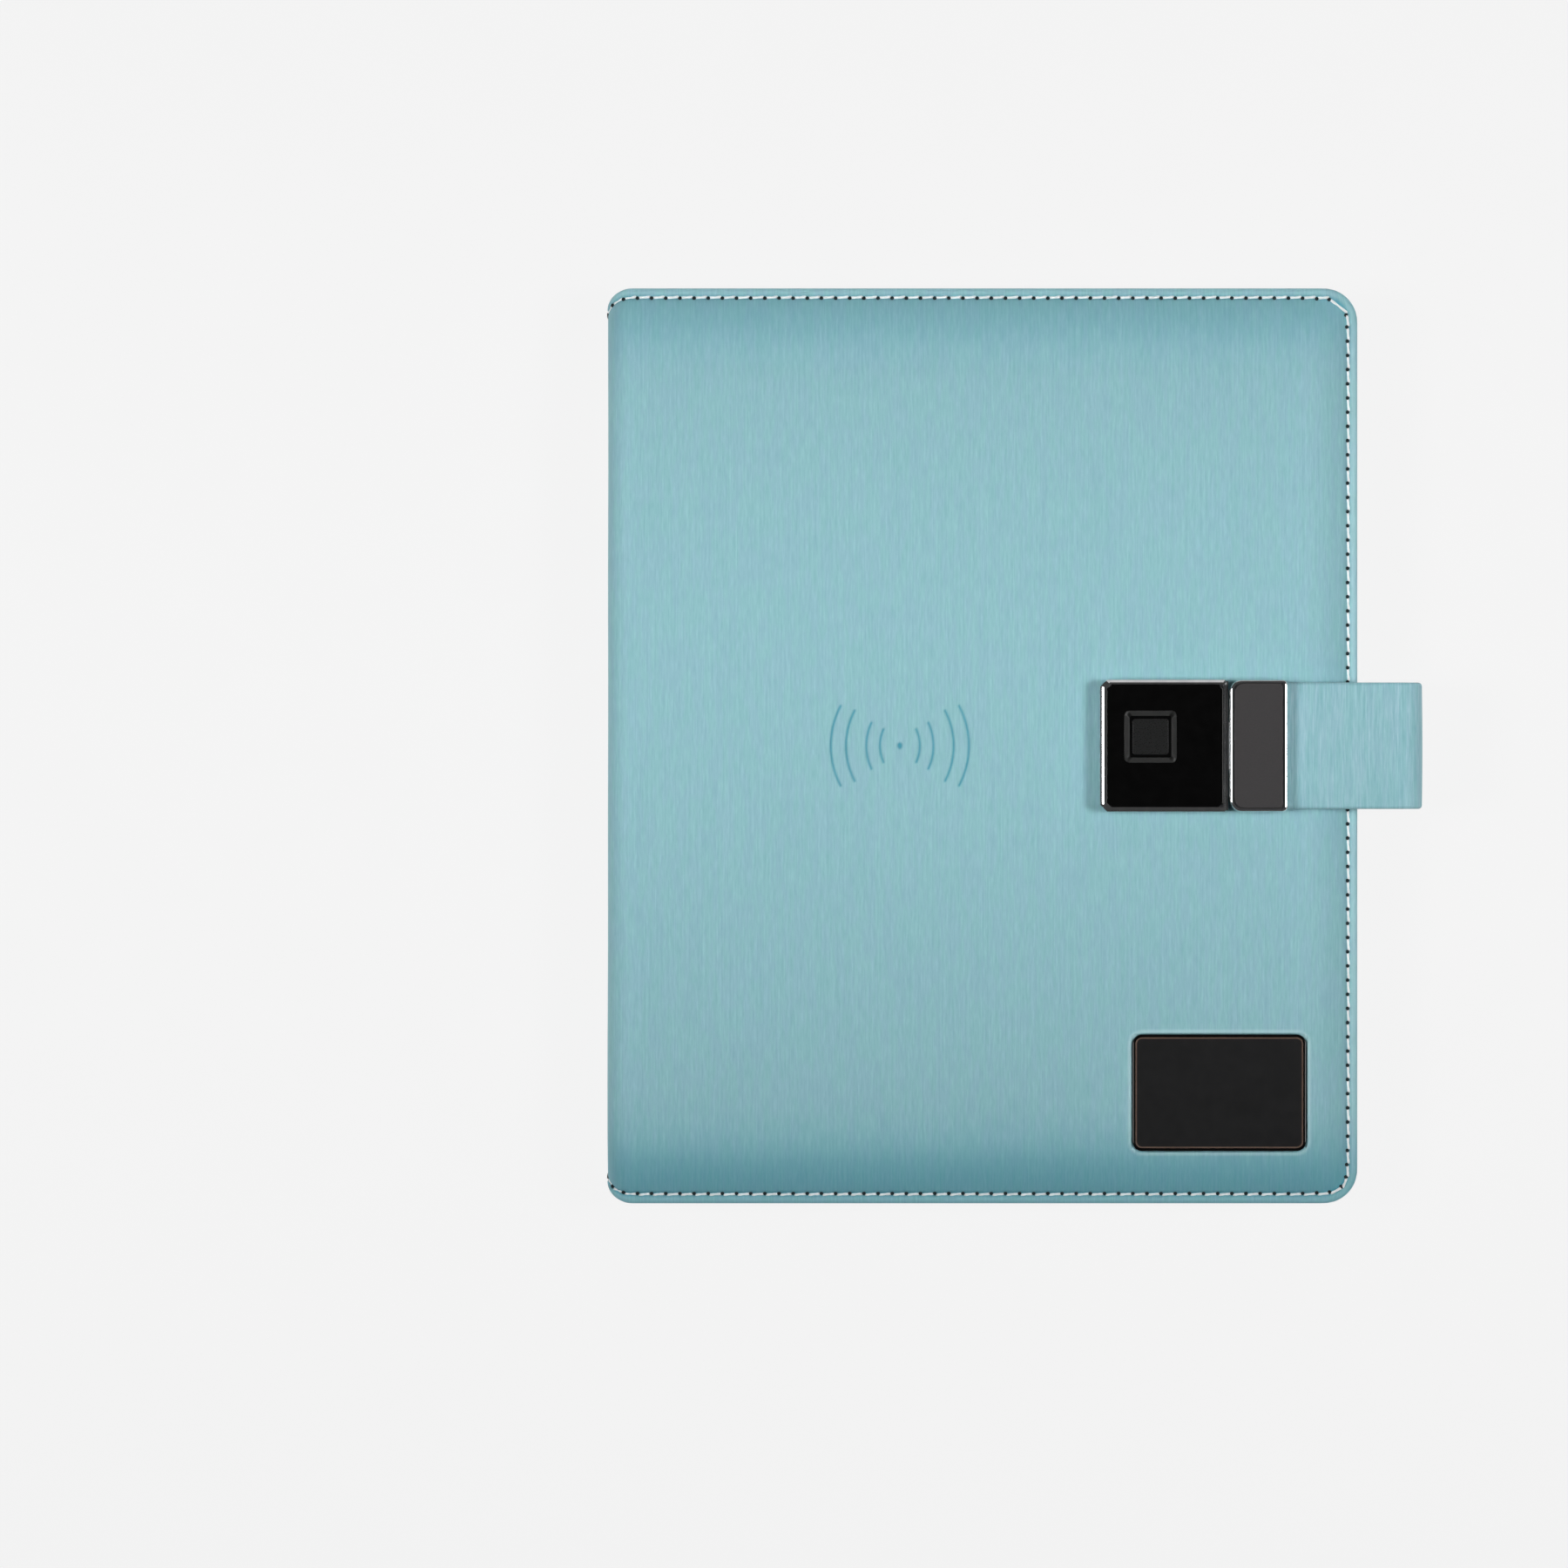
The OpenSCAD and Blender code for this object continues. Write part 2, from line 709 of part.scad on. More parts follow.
module lock_board() {
  half = y_room - 2 * post_r;
  color("#1f5a3c") translate([0, 0, z_panel - pcb_t]) linear_extrude(pcb_t) difference() {
    translate([x_room + fit, -half]) square([x_room_end - x_room - 2 * fit, 2 * half]);
    at_lock_screws() circle(post_r + fit);
  }
}

module lock_cell() {
  w = x_lock_end - x_lock - 2 * screw_inset - 2 * post_r - 1;
  color("#a9adb3") translate([x_lock + lock_w / 2, -y_room + 5, z_lock]) {
    linear_extrude(z_panel - pcb_t - z_lock - 0.3) rounded(w, 8, 1);
  }
}

module lock_motor() {
  x2 = x_motor_end;
  color("#b8bbc0") {
    bar_x(x2 - motor_len, x2, 0, z_bolt, motor_d);
    translate([x2 - motor_len, -motor_d / 2, z_lock]) cube([motor_len, motor_d, z_bolt - z_lock - 1]);
  }
}

module lead_screw() {
  color("#d0d2d4") bar_x(x_motor_end + fit, carriage_x + carriage_len - 0.6, 0, z_bolt, screw_d);
}

// Bolt on its carriage, drawn back, with the nut bore that the lead screw turns in
module lock_bolt() {
  carriage_w = 6;
  carriage_t = bolt_d + 0.6;
  color("#d0d2d4") difference() {
    union() {
      translate([carriage_x, -carriage_w / 2, z_bolt - carriage_t / 2]) {
        cube([carriage_len, carriage_w, carriage_t]);
      }
      bar_x(carriage_x + carriage_len - cut, x_lock_end, 0, z_bolt, bolt_d);
    }
    bar_x(carriage_x - cut, carriage_x + carriage_len - 0.3, 0, z_bolt, screw_d + 2 * run);
  }
}

module lock_screws() {
  head_t = 0.9;
  color("#6c6e70") at_lock_screws() {
    translate([0, 0, z_board]) cylinder(d = 2 * lock_screw_d - 0.3, h = head_t);
    translate([0, 0, z_board]) cylinder(d = lock_screw_d, h = z_panel - z_board - 1);
  }
}

// Clasp head on the end of the strap

module head_outline(gap) {
  w = x_head_end - x_head - 2 * gap;
  h = lock_h / 2 - gap;
  rl = head_r_left - gap;
  rr = head_r_right - gap;
  translate([x_head + gap, 0]) union() {
    for (side = [-1, 1]) {
      translate([rl, side * (h - rl)]) circle(rl);
      translate([w - rr, side * (h - rr)]) circle(rr);
    }
    translate([rl, -h]) square([w - rl - rr, 2 * h]);
    translate([0, -h + rl]) square([rl, 2 * (h - rl)]);
    translate([w - rr, -h + rr]) square([rr, 2 * (h - rr)]);
  }
}

module head_shell() {
  rivet_h = z_head_top - head_plate_t - 1;
  color("#bdbdbe") difference() {
    intersection() {
      translate([0, 0, z_head]) linear_extrude(z_head_top - z_head) head_outline(0);
      along_spine(lock_h) polygon([
        [x_head, z_head], [x_head_end, z_head], [x_head_end, z_head_top - 0.5],
        [x_head_end - 0.5, z_head_top], [x_head + head_flank, z_head_top],
        [x_head, z_head_top - head_flank]
      ]);
    }
    translate([x_head + head_flank + 0.4, 0, 0]) plate_recess(0);
    translate([x_head_pocket, -strap_w / 2 - fit, z_head - cut]) {
      cube([head_w, strap_w + 2 * fit, z_strap_top + fit - z_head + cut]);
    }
    translate([x_striker - fit / 2, -striker_w / 2 - fit, z_head - cut]) {
      cube([striker_t + fit, striker_w + 2 * fit, z_bolt + 3 - z_head + cut]);
    }
    bar_x(x_head - cut, x_head_pocket - 0.3, 0, z_bolt, bolt_d + 0.8);
    at_head_rivets() translate([0, 0, z_head]) cylinder(d = rivet_d + 2 * run, h = rivet_h - z_head);
  }
}

// Shape of the grey plate, let into the top of the head
module plate_recess(gap) {
  w = x_head_end - x_head - head_flank - 1.1 - 2 * gap;
  h = lock_h - 1.2 - 2 * gap;
  translate([w / 2 + gap, 0, z_head_top - head_plate_t]) {
    linear_extrude(head_plate_t + cut) rounded(w, h, 1.4);
  }
}

module head_plate() {
  color("#403e3f") translate([x_head + head_flank + 0.4, 0, 0]) difference() {
    plate_recess(fit / 2);
    translate([0, 0, z_head_top]) linear_extrude(1) square(2 * book_w, center = true);
  }
}

module head_striker() {
  low = z_head + clamp_t;
  color("#8f9295") difference() {
    translate([x_striker, -striker_w / 2, low]) cube([striker_t, striker_w, z_bolt + 3 - low - fit]);
    bar_x(x_striker - cut, x_striker + striker_t + cut, 0, z_bolt, bolt_d + 0.6);
  }
}

module head_clamp() {
  color("#8f9295") difference() {
    translate([x_head_pocket + fit, -strap_w / 2, z_head]) {
      cube([x_head_end - x_head_pocket - 2 * fit, strap_w, clamp_t]);
    }
    at_head_rivets() cylinder(d = rivet_d + 2 * run, h = z_top + 5);
  }
}

module head_rivets() {
  top = z_head_top - head_plate_t - 1.2;
  color("#a5a7a9") at_head_rivets() {
    translate([0, 0, z_head - 0.4]) cylinder(d = 2 * rivet_d, h = 0.4);
    translate([0, 0, z_head - 0.4]) cylinder(d = rivet_d, h = top - z_head + 0.4);
  }
}

// Strap, sewn between the layers of the back cover

module strap_band(x1, x2, z) {
  translate([x1, z]) square([x2 - x1, strap_t]);
}

module strap_root() {
  x_bend = x_strap - strap_bend_r;
  color("#93bcc5") along_spine(strap_w / 2) union() {
    translate([x_fore - board_inset - strap_tongue, skin_t + fit / 2]) {
      square([board_inset + strap_tongue + 0.5, board_t - fit]);
    }
    strap_band(x_fore + 0.2, x_bend, strap_foot);
    quarter_ring(x_bend, strap_foot + strap_bend_r, strap_bend_r, strap_t, -90);
  }
}

module strap_side() {
  low = strap_foot + strap_bend_r + strap_gap;
  color("#93bcc5") translate([x_strap - strap_t, -strap_w / 2, low]) {
    cube([strap_t, strap_w, z_strap_top - strap_bend_r - strap_gap - low]);
  }
}

module strap_flap() {
  x_bend = x_strap - strap_bend_r;
  color("#93bcc5") difference() {
    along_spine(strap_w / 2) union() {
      strap_band(x_head_pocket + fit, x_bend, z_strap);
      quarter_ring(x_bend, z_strap_top - strap_bend_r, strap_bend_r, strap_t, 0);
    }
    at_head_rivets() cylinder(d = rivet_d + 2 * run, h = z_strap_top + cut);
  }
}

// Spine panel

module spine_sheet(x, t, inset) {
  translate([x, -y_edge + inset, crease_low]) cube([t, book_h - 2 * inset, crease_high - crease_low]);
}

module spine_skin() {
  color("#94c2c8") spine_sheet(x_spine, skin_t, 0);
}

module spine_board() {
  color("#8a7f70") spine_sheet(x_spine + skin_t, spine_board_t, board_inset);
}

module spine_lining() {
  color("#6f8a90") spine_sheet(x_spine + skin_t + spine_board_t, spine_lining_t, skin_t);
}

// Back cover

module back_skin() {
  color("#8ab8c0") difference() {
    union() {
      difference() {
        cover_sheet(x_cover, 0, 0, back_t);
        cover_sheet(x_cover - cut, skin_t, skin_t, back_t + cut);
      }
      along_spine(y_edge) quarter_ring(x_cover, roll_r, roll_r, skin_t, 180);
    }
    translate([x_fore - 2 * skin_t, -strap_w / 2 - fit, skin_t]) {
      cube([4 * skin_t, strap_w + 2 * fit, board_t]);
    }
    at_rail_rivets() cylinder(d = 2.2 * rail_rivet_d + 2 * fit, h = 3 * skin_t, center = true);
  }
}

module back_board() {
  color("#8a7f70") difference() {
    cover_sheet(x_cover + 1, board_inset, skin_t, skin_t + board_t);
    translate([x_fore - board_inset - strap_tongue - fit, -strap_w / 2 - fit, 0]) {
      cube([2 * strap_tongue, strap_w + 2 * fit, back_t]);
    }
    at_rail_rivets() cylinder(d = rail_rivet_d + 2 * fit, h = back_t);
  }
}

module back_lining() {
  color("#6f8a90") difference() {
    cover_sheet(x_cover, skin_t + fit, skin_t + board_t, back_t);
    at_rail_rivets() cylinder(d = rail_rivet_d + 2 * fit, h = back_t + cut);
  }
}

// Six-ring mechanism, riveted through the back cover

module at_rail_rivets() {
  for (side = [-1, 1]) translate([x_ring, side * rail_rivet_y, 0]) children();
}

// Arched rail section, drawn in by a wall thickness
module rail_section(wall) {
  translate([x_ring, z_rail + rail_h]) intersection() {
    translate([0, -rail_crown_r]) circle(rail_crown_r - wall, $fn = 360);
    translate([-rail_w / 2 + wall, -rail_h - (wall > 0 ? cut : 0)]) {
      square([rail_w - 2 * wall, rail_h + (wall > 0 ? cut : 0)]);
    }
  }
}

module ring_rail() {
  notch = wire_d + 0.6;
  color("#c9cacc") difference() {
    along_spine(rail_len / 2) rail_section(0);
    along_spine(rail_len / 2 + cut) rail_section(rail_wall);
    for (y = ring_places) for (side = [-1, 1]) {
      translate([x_ring + side * (stub_x + 4 - wire_d / 2 - 0.5), y, z_rail + 0.8 + rail_h]) {
        cube([8, notch, 2 * rail_h], center = true);
      }
    }
    at_rail_rivets() cylinder(d = rail_rivet_d + 2 * fit, h = z_rail + rail_h + cut);
    for (side = [-1, 1]) {
      bar_x(x_ring - rail_w, x_ring + rail_w, side * y_lever, z_lever, lever_pin_d + run);
    }
  }
}

module rail_rivets() {
  color("#b5b6b8") at_rail_rivets() {
    translate([0, 0, 0.2]) cylinder(d = 2.2 * rail_rivet_d, h = skin_t - 0.2);
    translate([0, 0, 0.2]) cylinder(d = rail_rivet_d, h = z_rail + rail_h + 0.4);
    translate([0, 0, z_rail + rail_h + 0.02]) cylinder(d = 1.5 * rail_rivet_d, h = 0.6);
  }
}

module lever_pins() {
  color("#8f9295") for (side = [-1, 1]) {
    bar_x(x_ring - rail_w / 2 - 0.2, x_ring + rail_w / 2 + 0.2, side * y_lever, z_lever, lever_pin_d);
  }
}

// Half of the rings with the blade that carries them, for the right side
module ring_half() {
  z_elbow = z_ring - z_pivot - (ring_r + ring_elbow_r) * sin(stub_turn);
  blade_len = rail_len - 2 * blade_inset;
  difference() {
    translate([ring_split, -blade_len / 2, -blade_t / 2]) {
      cube([blade_reach - ring_split, blade_len, blade_t]);
    }
    for (side = [-1, 1]) {
      translate([0, side * rail_rivet_y, -1]) cylinder(d = rail_rivet_d + 1.2, h = 2);
    }
  }
  for (y = ring_places) translate([0, y, 0]) {
    wire_arc(0, z_ring - z_pivot, ring_r, -stub_turn, 90 - ring_split_turn);
    wire_arc(stub_x + ring_elbow_r, z_elbow, ring_elbow_r, 180 - stub_turn, 180);
    translate([stub_x, 0, -blade_t / 2]) cylinder(d = wire_d, h = z_elbow + blade_t / 2, $fn = 24);
  }
}

// Bent stretch of ring wire in the X and Z plane, between two angles about its centre
module wire_arc(x, z, r, from, to) {
  translate([x, 0, z]) rotate([90, 0, 0]) rotate([0, 0, from]) {
    rotate_extrude(angle = to - from, $fn = 96) translate([r, 0]) circle(d = wire_d, $fn = 24);
  }
}

module rings_right() {
  color("#d4d5d6") translate([x_ring, 0, z_pivot]) ring_half();
}

module rings_left() {
  color("#d4d5d6") translate([x_ring, 0, z_pivot]) mirror([1, 0, 0]) ring_half();
}

// Thumb lever at the end of the rail, for the end at +Y
module lever() {
  foot = lever_len - lever_tab;
  difference() {
    union() {
      bar_x(-lever_half_w, lever_half_w, 0, 0, 2 * lever_hub_r);
      rotate([90, 0, 90]) translate([0, 0, -lever_half_w]) linear_extrude(2 * lever_half_w) polygon([
        [0, lever_hub_r - lever_t], [foot, lever_hub_r - 0.4], [lever_len, lever_h - 1],
        [lever_len, lever_h], [lever_len - lever_t, lever_h], [foot - 0.8, lever_hub_r + 0.4],
        [lever_t, lever_hub_r], [0, lever_hub_r]
      ]);
    }
    bar_x(-rail_w, rail_w, 0, 0, lever_pin_d + 2 * run);
  }
}

module lever_top() {
  color("#c9cacc") translate([x_ring, y_lever, z_lever]) lever();
}

module lever_bottom() {
  color("#c9cacc") translate([x_ring, -y_lever, z_lever]) mirror([0, 1, 0]) lever();
}

// Stack of punched sheets that lies over the rail and down on the lining
module paper_pad() {
  x_far = x_bound + sheet_w;
  z_low = z_rail + 0.3;
  color("#f4f1e8") difference() {
    along_spine(sheet_h / 2) polygon([
      [x_bound, z_pad], [pad_bend_x, z_pad], [pad_bend_x + pad_bend_run, z_low], [x_far, z_low],
      [x_far, z_low + pad_t], [pad_bend_x + pad_bend_run + 1, z_low + pad_t],
      [pad_bend_x + 1, z_pad + pad_t], [x_bound, z_pad + pad_t]
    ]);
    for (y = ring_places) translate([x_bound + hole_edge, y, z_rail]) {
      cylinder(d = hole_d, h = z_pad + pad_t);
    }
  }
}

front_skin();
front_foam();
front_board();
front_lining();
card_pockets();
power_tray();
battery_cells();
charge_board();
charge_coil();
ferrite_sheet();
window_plate();
display_board();
port_block();
usb_socket();
power_button();
lock_housing();
lock_base();
lock_panel();
sensor_frame();
sensor_pad();
lock_board();
lock_cell();
lock_motor();
lead_screw();
lock_bolt();
lock_screws();
head_shell();
head_plate();
head_striker();
head_clamp();
head_rivets();
strap_root();
strap_side();
strap_flap();
spine_skin();
spine_board();
spine_lining();
back_skin();
back_board();
back_lining();
ring_rail();
rail_rivets();
lever_pins();
rings_right();
rings_left();
lever_top();
lever_bottom();
paper_pad();
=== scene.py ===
import math

import bpy
import numpy as np
from mathutils import Matrix, Vector


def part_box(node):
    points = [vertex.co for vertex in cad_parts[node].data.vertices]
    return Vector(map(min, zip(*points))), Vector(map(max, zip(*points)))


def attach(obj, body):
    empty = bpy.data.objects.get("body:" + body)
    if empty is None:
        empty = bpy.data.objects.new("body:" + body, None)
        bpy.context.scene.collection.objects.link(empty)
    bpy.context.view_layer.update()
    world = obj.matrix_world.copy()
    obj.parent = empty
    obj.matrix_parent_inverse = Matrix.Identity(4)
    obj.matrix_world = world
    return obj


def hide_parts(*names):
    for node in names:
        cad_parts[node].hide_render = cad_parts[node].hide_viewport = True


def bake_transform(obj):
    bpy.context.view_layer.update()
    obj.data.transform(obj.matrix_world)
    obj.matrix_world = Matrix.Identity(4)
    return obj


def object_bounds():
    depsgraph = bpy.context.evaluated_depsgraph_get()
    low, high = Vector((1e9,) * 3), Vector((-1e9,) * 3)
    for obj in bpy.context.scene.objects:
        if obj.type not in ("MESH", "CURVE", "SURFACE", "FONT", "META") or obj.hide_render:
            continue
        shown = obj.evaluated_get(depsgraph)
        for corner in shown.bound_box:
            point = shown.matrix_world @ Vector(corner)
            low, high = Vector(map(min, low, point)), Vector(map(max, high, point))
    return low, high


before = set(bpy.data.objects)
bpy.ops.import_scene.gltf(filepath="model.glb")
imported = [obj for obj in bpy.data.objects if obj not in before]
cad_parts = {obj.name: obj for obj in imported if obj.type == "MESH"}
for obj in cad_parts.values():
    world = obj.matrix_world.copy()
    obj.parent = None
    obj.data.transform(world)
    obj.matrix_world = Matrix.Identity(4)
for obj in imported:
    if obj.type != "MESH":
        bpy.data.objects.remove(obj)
cad_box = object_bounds()
MM = 0.001
# Within this distance two places count as one
TINY = 0.001 * MM

# Places taken from the frame, and the form of the covers: the roll at the spine, the crown of the padding

front_low, front_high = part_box("front_skin")
back_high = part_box("back_skin")[1]
X_SPINE = front_low.x
X_FORE = front_high.x
Y_EDGE = front_high.y
Z_TOP = front_high.z
Z_FRONT = front_low.z
Z_BACK = back_high.z
Z_MID = Z_TOP / 2
ROLL_R = 6.2 * MM
X_COVER = X_SPINE + ROLL_R
CROWN_H = 6.8 * MM
CROWN_W = 20 * MM
CORNER_R = 8.7 * MM
SPINE_T = 3.2 * MM

# Seam along the edges, how far the ends of the spine draw in, and the lining within the edge
STITCH_IN = 2.4 * MM
STITCH_PITCH = 3.6 * MM
SPINE_END = 4.2 * MM
LINING_IN = 1.6 * MM
LINING_ROLL = 3.5 * MM

# Materials. The colour sockets of a Mix node have the names of its number sockets, so they go by index
MIX_A = 6
MIX_B = 7


def colour(code, alpha=1.0):
    """sRGB hex to the linear values that the shader works in."""
    rgb = [int(code[k:k + 2], 16) / 255 for k in (1, 3, 5)]
    return [c / 12.92 if c <= 0.04045 else ((c + 0.055) / 1.055) ** 2.4 for c in rgb] + [alpha]


def set_sockets(tree, node, sockets):
    """Gives a node's sockets their values, or links them to a socket or to the first output of a node."""
    for key, value in sockets.items():
        if isinstance(value, bpy.types.Node):
            value = value.outputs[0]
        if isinstance(value, bpy.types.NodeSocket):
            tree.links.new(value, node.inputs[key])
        else:
            node.inputs[key].default_value = value


def add_node(tree, kind, sockets=None, stops=None, **settings):
    """Adds a node with its settings, its sockets and the stops of a ramp."""
    node = tree.nodes.new(kind)
    for key, value in settings.items():
        setattr(node, key, value)
    set_sockets(tree, node, sockets or {})
    if stops:
        ramp = node.color_ramp
        while len(ramp.elements) < len(stops):
            ramp.elements.new(0.5)
        for element, (place, code) in zip(ramp.elements, stops):
            element.position = place
            element.color = colour(code)
    return node


def new_material(name, **constants):
    """A material with one principled shader, its constants set on the shader's own sockets."""
    material = bpy.data.materials.new(name)
    material.use_nodes = True
    tree = material.node_tree
    shader = tree.nodes["Principled BSDF"]
    set_sockets(tree, shader, {key.replace("_", " "): value for key, value in constants.items()})
    return material, tree, shader


def pattern_space(tree, size, attribute=None):
    """Coordinates in which one unit is the given size in millimetres along each axis."""
    if attribute:
        source = add_node(tree, "ShaderNodeAttribute", attribute_name=attribute).outputs["Vector"]
    else:
        source = add_node(tree, "ShaderNodeTexCoord").outputs["Object"]
    scale = [1 / (s * MM) for s in size]
    return add_node(tree, "ShaderNodeMapping", {"Vector": source, "Scale": scale})


def coated_leather(name, warm, cool, streak, tone=True, rough=(0.48, 0.64), relief=1.0):
    """Split leather with a brushed, pearly polyurethane coat: fine broken streaks and a few long ones, in two
    hues that drift into each other, tiny pores and a soft satin gloss."""
    material, tree, shader = new_material(name, Specular_IOR_Level=0.25, Sheen_Weight=0.1)
    wide, long = streak
    noises = []
    for across, along, detail, roughness, distortion in (
            (1, 1, 4.0, 0.6, 0.1),
            (0.8, 9, 3.0, 0.7, 0.0),
            (5, 3, 3.0, 0.6, 0.0)):
        space = pattern_space(tree, (wide * across, long * along, wide * 8), "grain")
        noises.append(add_node(tree, "ShaderNodeTexNoise", {
            "Vector": space, "Scale": 1.0, "Detail": detail,
            "Roughness": roughness, "Distortion": distortion}))
    broken, drawn, drift = noises
    mixed = add_node(tree, "ShaderNodeMix", {"Factor": 0.42, "A": broken, "B": drawn})
    shift = add_node(tree, "ShaderNodeMapRange", {"Value": drift, "From Min": 0.42, "From Max": 0.58})
    first = add_node(tree, "ShaderNodeValToRGB", {"Fac": mixed}, warm)
    second = add_node(tree, "ShaderNodeValToRGB", {"Fac": mixed}, cool)
    base = add_node(tree, "ShaderNodeMix", {0: shift, MIX_A: first, MIX_B: second},
                    data_type="RGBA").outputs[2]
    if tone:
        # The stored tone is 0.5 where the coat is as it came; below it is darker, from pressed grooves and
        # painted shade, above it lighter
        tone_with_painted_shade = add_node(tree, "ShaderNodeAttribute", attribute_name="tone").outputs["Fac"]
        for end, code in ((0.0, "#00889e"), (1.0, "#b9d9dd")):
            share = add_node(tree, "ShaderNodeMapRange", {"Value": tone_with_painted_shade, "From Min": 0.5, "From Max": end})
            base = add_node(tree, "ShaderNodeMix", {0: share, MIX_A: base, MIX_B: colour(code)},
                            data_type="RGBA").outputs[2]
    gloss = add_node(tree, "ShaderNodeMapRange", {
        "Value": broken, "From Min": 0.3, "From Max": 0.7, "To Min": rough[0], "To Max": rough[1]})
    # Pores of calf grain are about 0.3 mm; they are drawn at 0.45 mm so that they show
    space = pattern_space(tree, (0.45, 0.8, 0.45), "grain")
    pores = add_node(tree, "ShaderNodeTexVoronoi", {"Vector": space, "Scale": 1.0})
    low = add_node(tree, "ShaderNodeBump", {
        "Height": pores, "Strength": 0.16 * relief, "Distance": 0.06 * MM})
    high = add_node(tree, "ShaderNodeBump", {
        "Height": mixed, "Strength": 0.32 * relief, "Distance": 0.14 * MM, "Normal": low})
    set_sockets(tree, shader, {"Base Color": base, "Roughness": gloss, "Normal": high})
    return material


def flecked(name, codes, size, metallic=0.0, rough=(0.4, 0.6), bump=0.2, depth=0.05, **constants):
    """A finish with a fine grain of the given size in millimetres, from one colour to the other."""
    material, tree, shader = new_material(name, Metallic=metallic, **constants)
    space = pattern_space(tree, size if isinstance(size, tuple) else (size, size, size))
    grain = add_node(tree, "ShaderNodeTexNoise", {
        "Vector": space, "Scale": 1.0, "Detail": 3.0, "Roughness": 0.55})
    ramp = add_node(tree, "ShaderNodeValToRGB", {"Fac": grain}, [(0.3, codes[0]), (0.7, codes[1])])
    gloss = add_node(tree, "ShaderNodeMapRange", {
        "Value": grain, "From Min": 0.3, "From Max": 0.7, "To Min": rough[0], "To Max": rough[1]})
    set_sockets(tree, shader, {"Base Color": ramp, "Roughness": gloss})
    if bump:
        relief = add_node(tree, "ShaderNodeBump", {"Height": grain, "Strength": bump, "Distance": depth * MM})
        set_sockets(tree, shader, {"Normal": relief})
    return material


def page_block(name):
    """Uncoated wood-free paper: a warm white face, and fine lines where the cut edges of the sheets show."""
    material, tree, shader = new_material(name, Roughness=0.85, Specular_IOR_Level=0.25)
    # A sheet is 0.1 mm; the lines are drawn at 0.35 mm so that they show
    layers = add_node(tree, "ShaderNodeTexNoise", {
        "Vector": pattern_space(tree, (60, 60, 0.35)), "Scale": 1.0, "Detail": 4.0, "Roughness": 0.7})
    edge = add_node(tree, "ShaderNodeValToRGB", {"Fac": layers},
                    [(0.34, "#b9b09a"), (0.5, "#e6e0d0"), (0.66, "#f4f0e6")])
    fibres = add_node(tree, "ShaderNodeTexNoise", {
        "Vector": pattern_space(tree, (1.2, 1.2, 1.2)), "Scale": 1.0, "Detail": 4.0})
    sheet = add_node(tree, "ShaderNodeValToRGB", {"Fac": fibres}, [(0.3, "#efeadd"), (0.7, "#f7f3e9")])
    normal = add_node(tree, "ShaderNodeNewGeometry").outputs["Normal"]
    rise = add_node(tree, "ShaderNodeSeparateXYZ", {"Vector": normal}).outputs["Z"]
    upwards = add_node(tree, "ShaderNodeMath", {0: rise}, operation="ABSOLUTE")
    flat = add_node(tree, "ShaderNodeMapRange", {"Value": upwards, "From Min": 0.3, "From Max": 0.7})
    both = add_node(tree, "ShaderNodeMix", {0: flat, MIX_A: edge, MIX_B: sheet}, data_type="RGBA").outputs[2]
    bump = add_node(tree, "ShaderNodeBump", {"Height": layers, "Strength": 0.25, "Distance": 0.1 * MM})
    set_sockets(tree, shader, {"Base Color": both, "Normal": bump})
    return material


# Leather split, coated and brushed: a pearly satin whose streaks run along the spine
LEATHER = coated_leather(
    "coated_leather_pearl_teal",
    [(0.34, "#81b5bb"), (0.5, "#8bbdc3"), (0.66, "#97c7cc")],
    [(0.34, "#83b2be"), (0.5, "#8dbac5"), (0.66, "#98c4ce")],
    (0.52, 4.5))
# The same on the strap, with a little more contrast
STRAP_LEATHER = coated_leather(
    "coated_leather_strap",
    [(0.34, "#78acb4"), (0.5, "#89b9c0"), (0.66, "#9bc6cd")],
    [(0.34, "#7eaeb9"), (0.5, "#8fb9c4"), (0.66, "#a5c8d1")],
    (0.4, 5.5), tone=False)
# Thinner polyurethane on knit, embossed: duller, with a short grain
LINING = coated_leather(
    "lining_grained_polyurethane",
    [(0.3, "#5d7f87"), (0.5, "#6b8e95"), (0.7, "#789aa0")],
    [(0.3, "#5f7d87"), (0.5, "#6d8c96"), (0.7, "#7a98a1")],
    (0.9, 2.0), tone=False, rough=(0.55, 0.72), relief=0.9)
POCKETS = flecked("lining_pocket_leather", ("#64878f", "#7496a0"), (0.8, 2.4, 0.8),
                  rough=(0.5, 0.65), bump=0.5)
# Polyester thread, twisted and waxed: a satin white with fine shades
THREAD = flecked("polyester_thread_white", ("#f0f3f3", "#ffffff"), 0.25, rough=(0.5, 0.7), bump=0.4)
# Painted shade: each needle hole is a dark dimple that stands for the shade down in the hole
NEEDLE_HOLE = flecked("needle_hole_painted_shade", ("#0e1719", "#1d2c30"), 0.3, rough=(0.8, 0.9))
# Bright chrome on zinc: a mirror with the faintest waviness
CHROME = flecked("bright_chrome_plate", ("#d9dadc", "#eceded"), 4, metallic=1.0, rough=(0.03, 0.07),
                 bump=0.04)
# Nickel on spring steel, drawn and tumbled: a softer mirror
NICKEL = flecked("nickel_plated_steel", ("#b5b3ae", "#cfcdc8"), 0.8, metallic=1.0, rough=(0.16, 0.3),
                 bump=0.06)
# Zinc on turned and stamped steel: a dull grey shine
STEEL = flecked("zinc_plated_steel", ("#9a9b9d", "#b4b5b7"), 0.6, metallic=1.0, rough=(0.28, 0.42),
                bump=0.1)
# Hard-coated acrylic over black print: deep, wet gloss
GLOSS_BLACK = flecked("hard_coated_acrylic_black", ("#030303", "#060606"), 3, rough=(0.05, 0.09), bump=0,
                      Specular_IOR_Level=0.3)
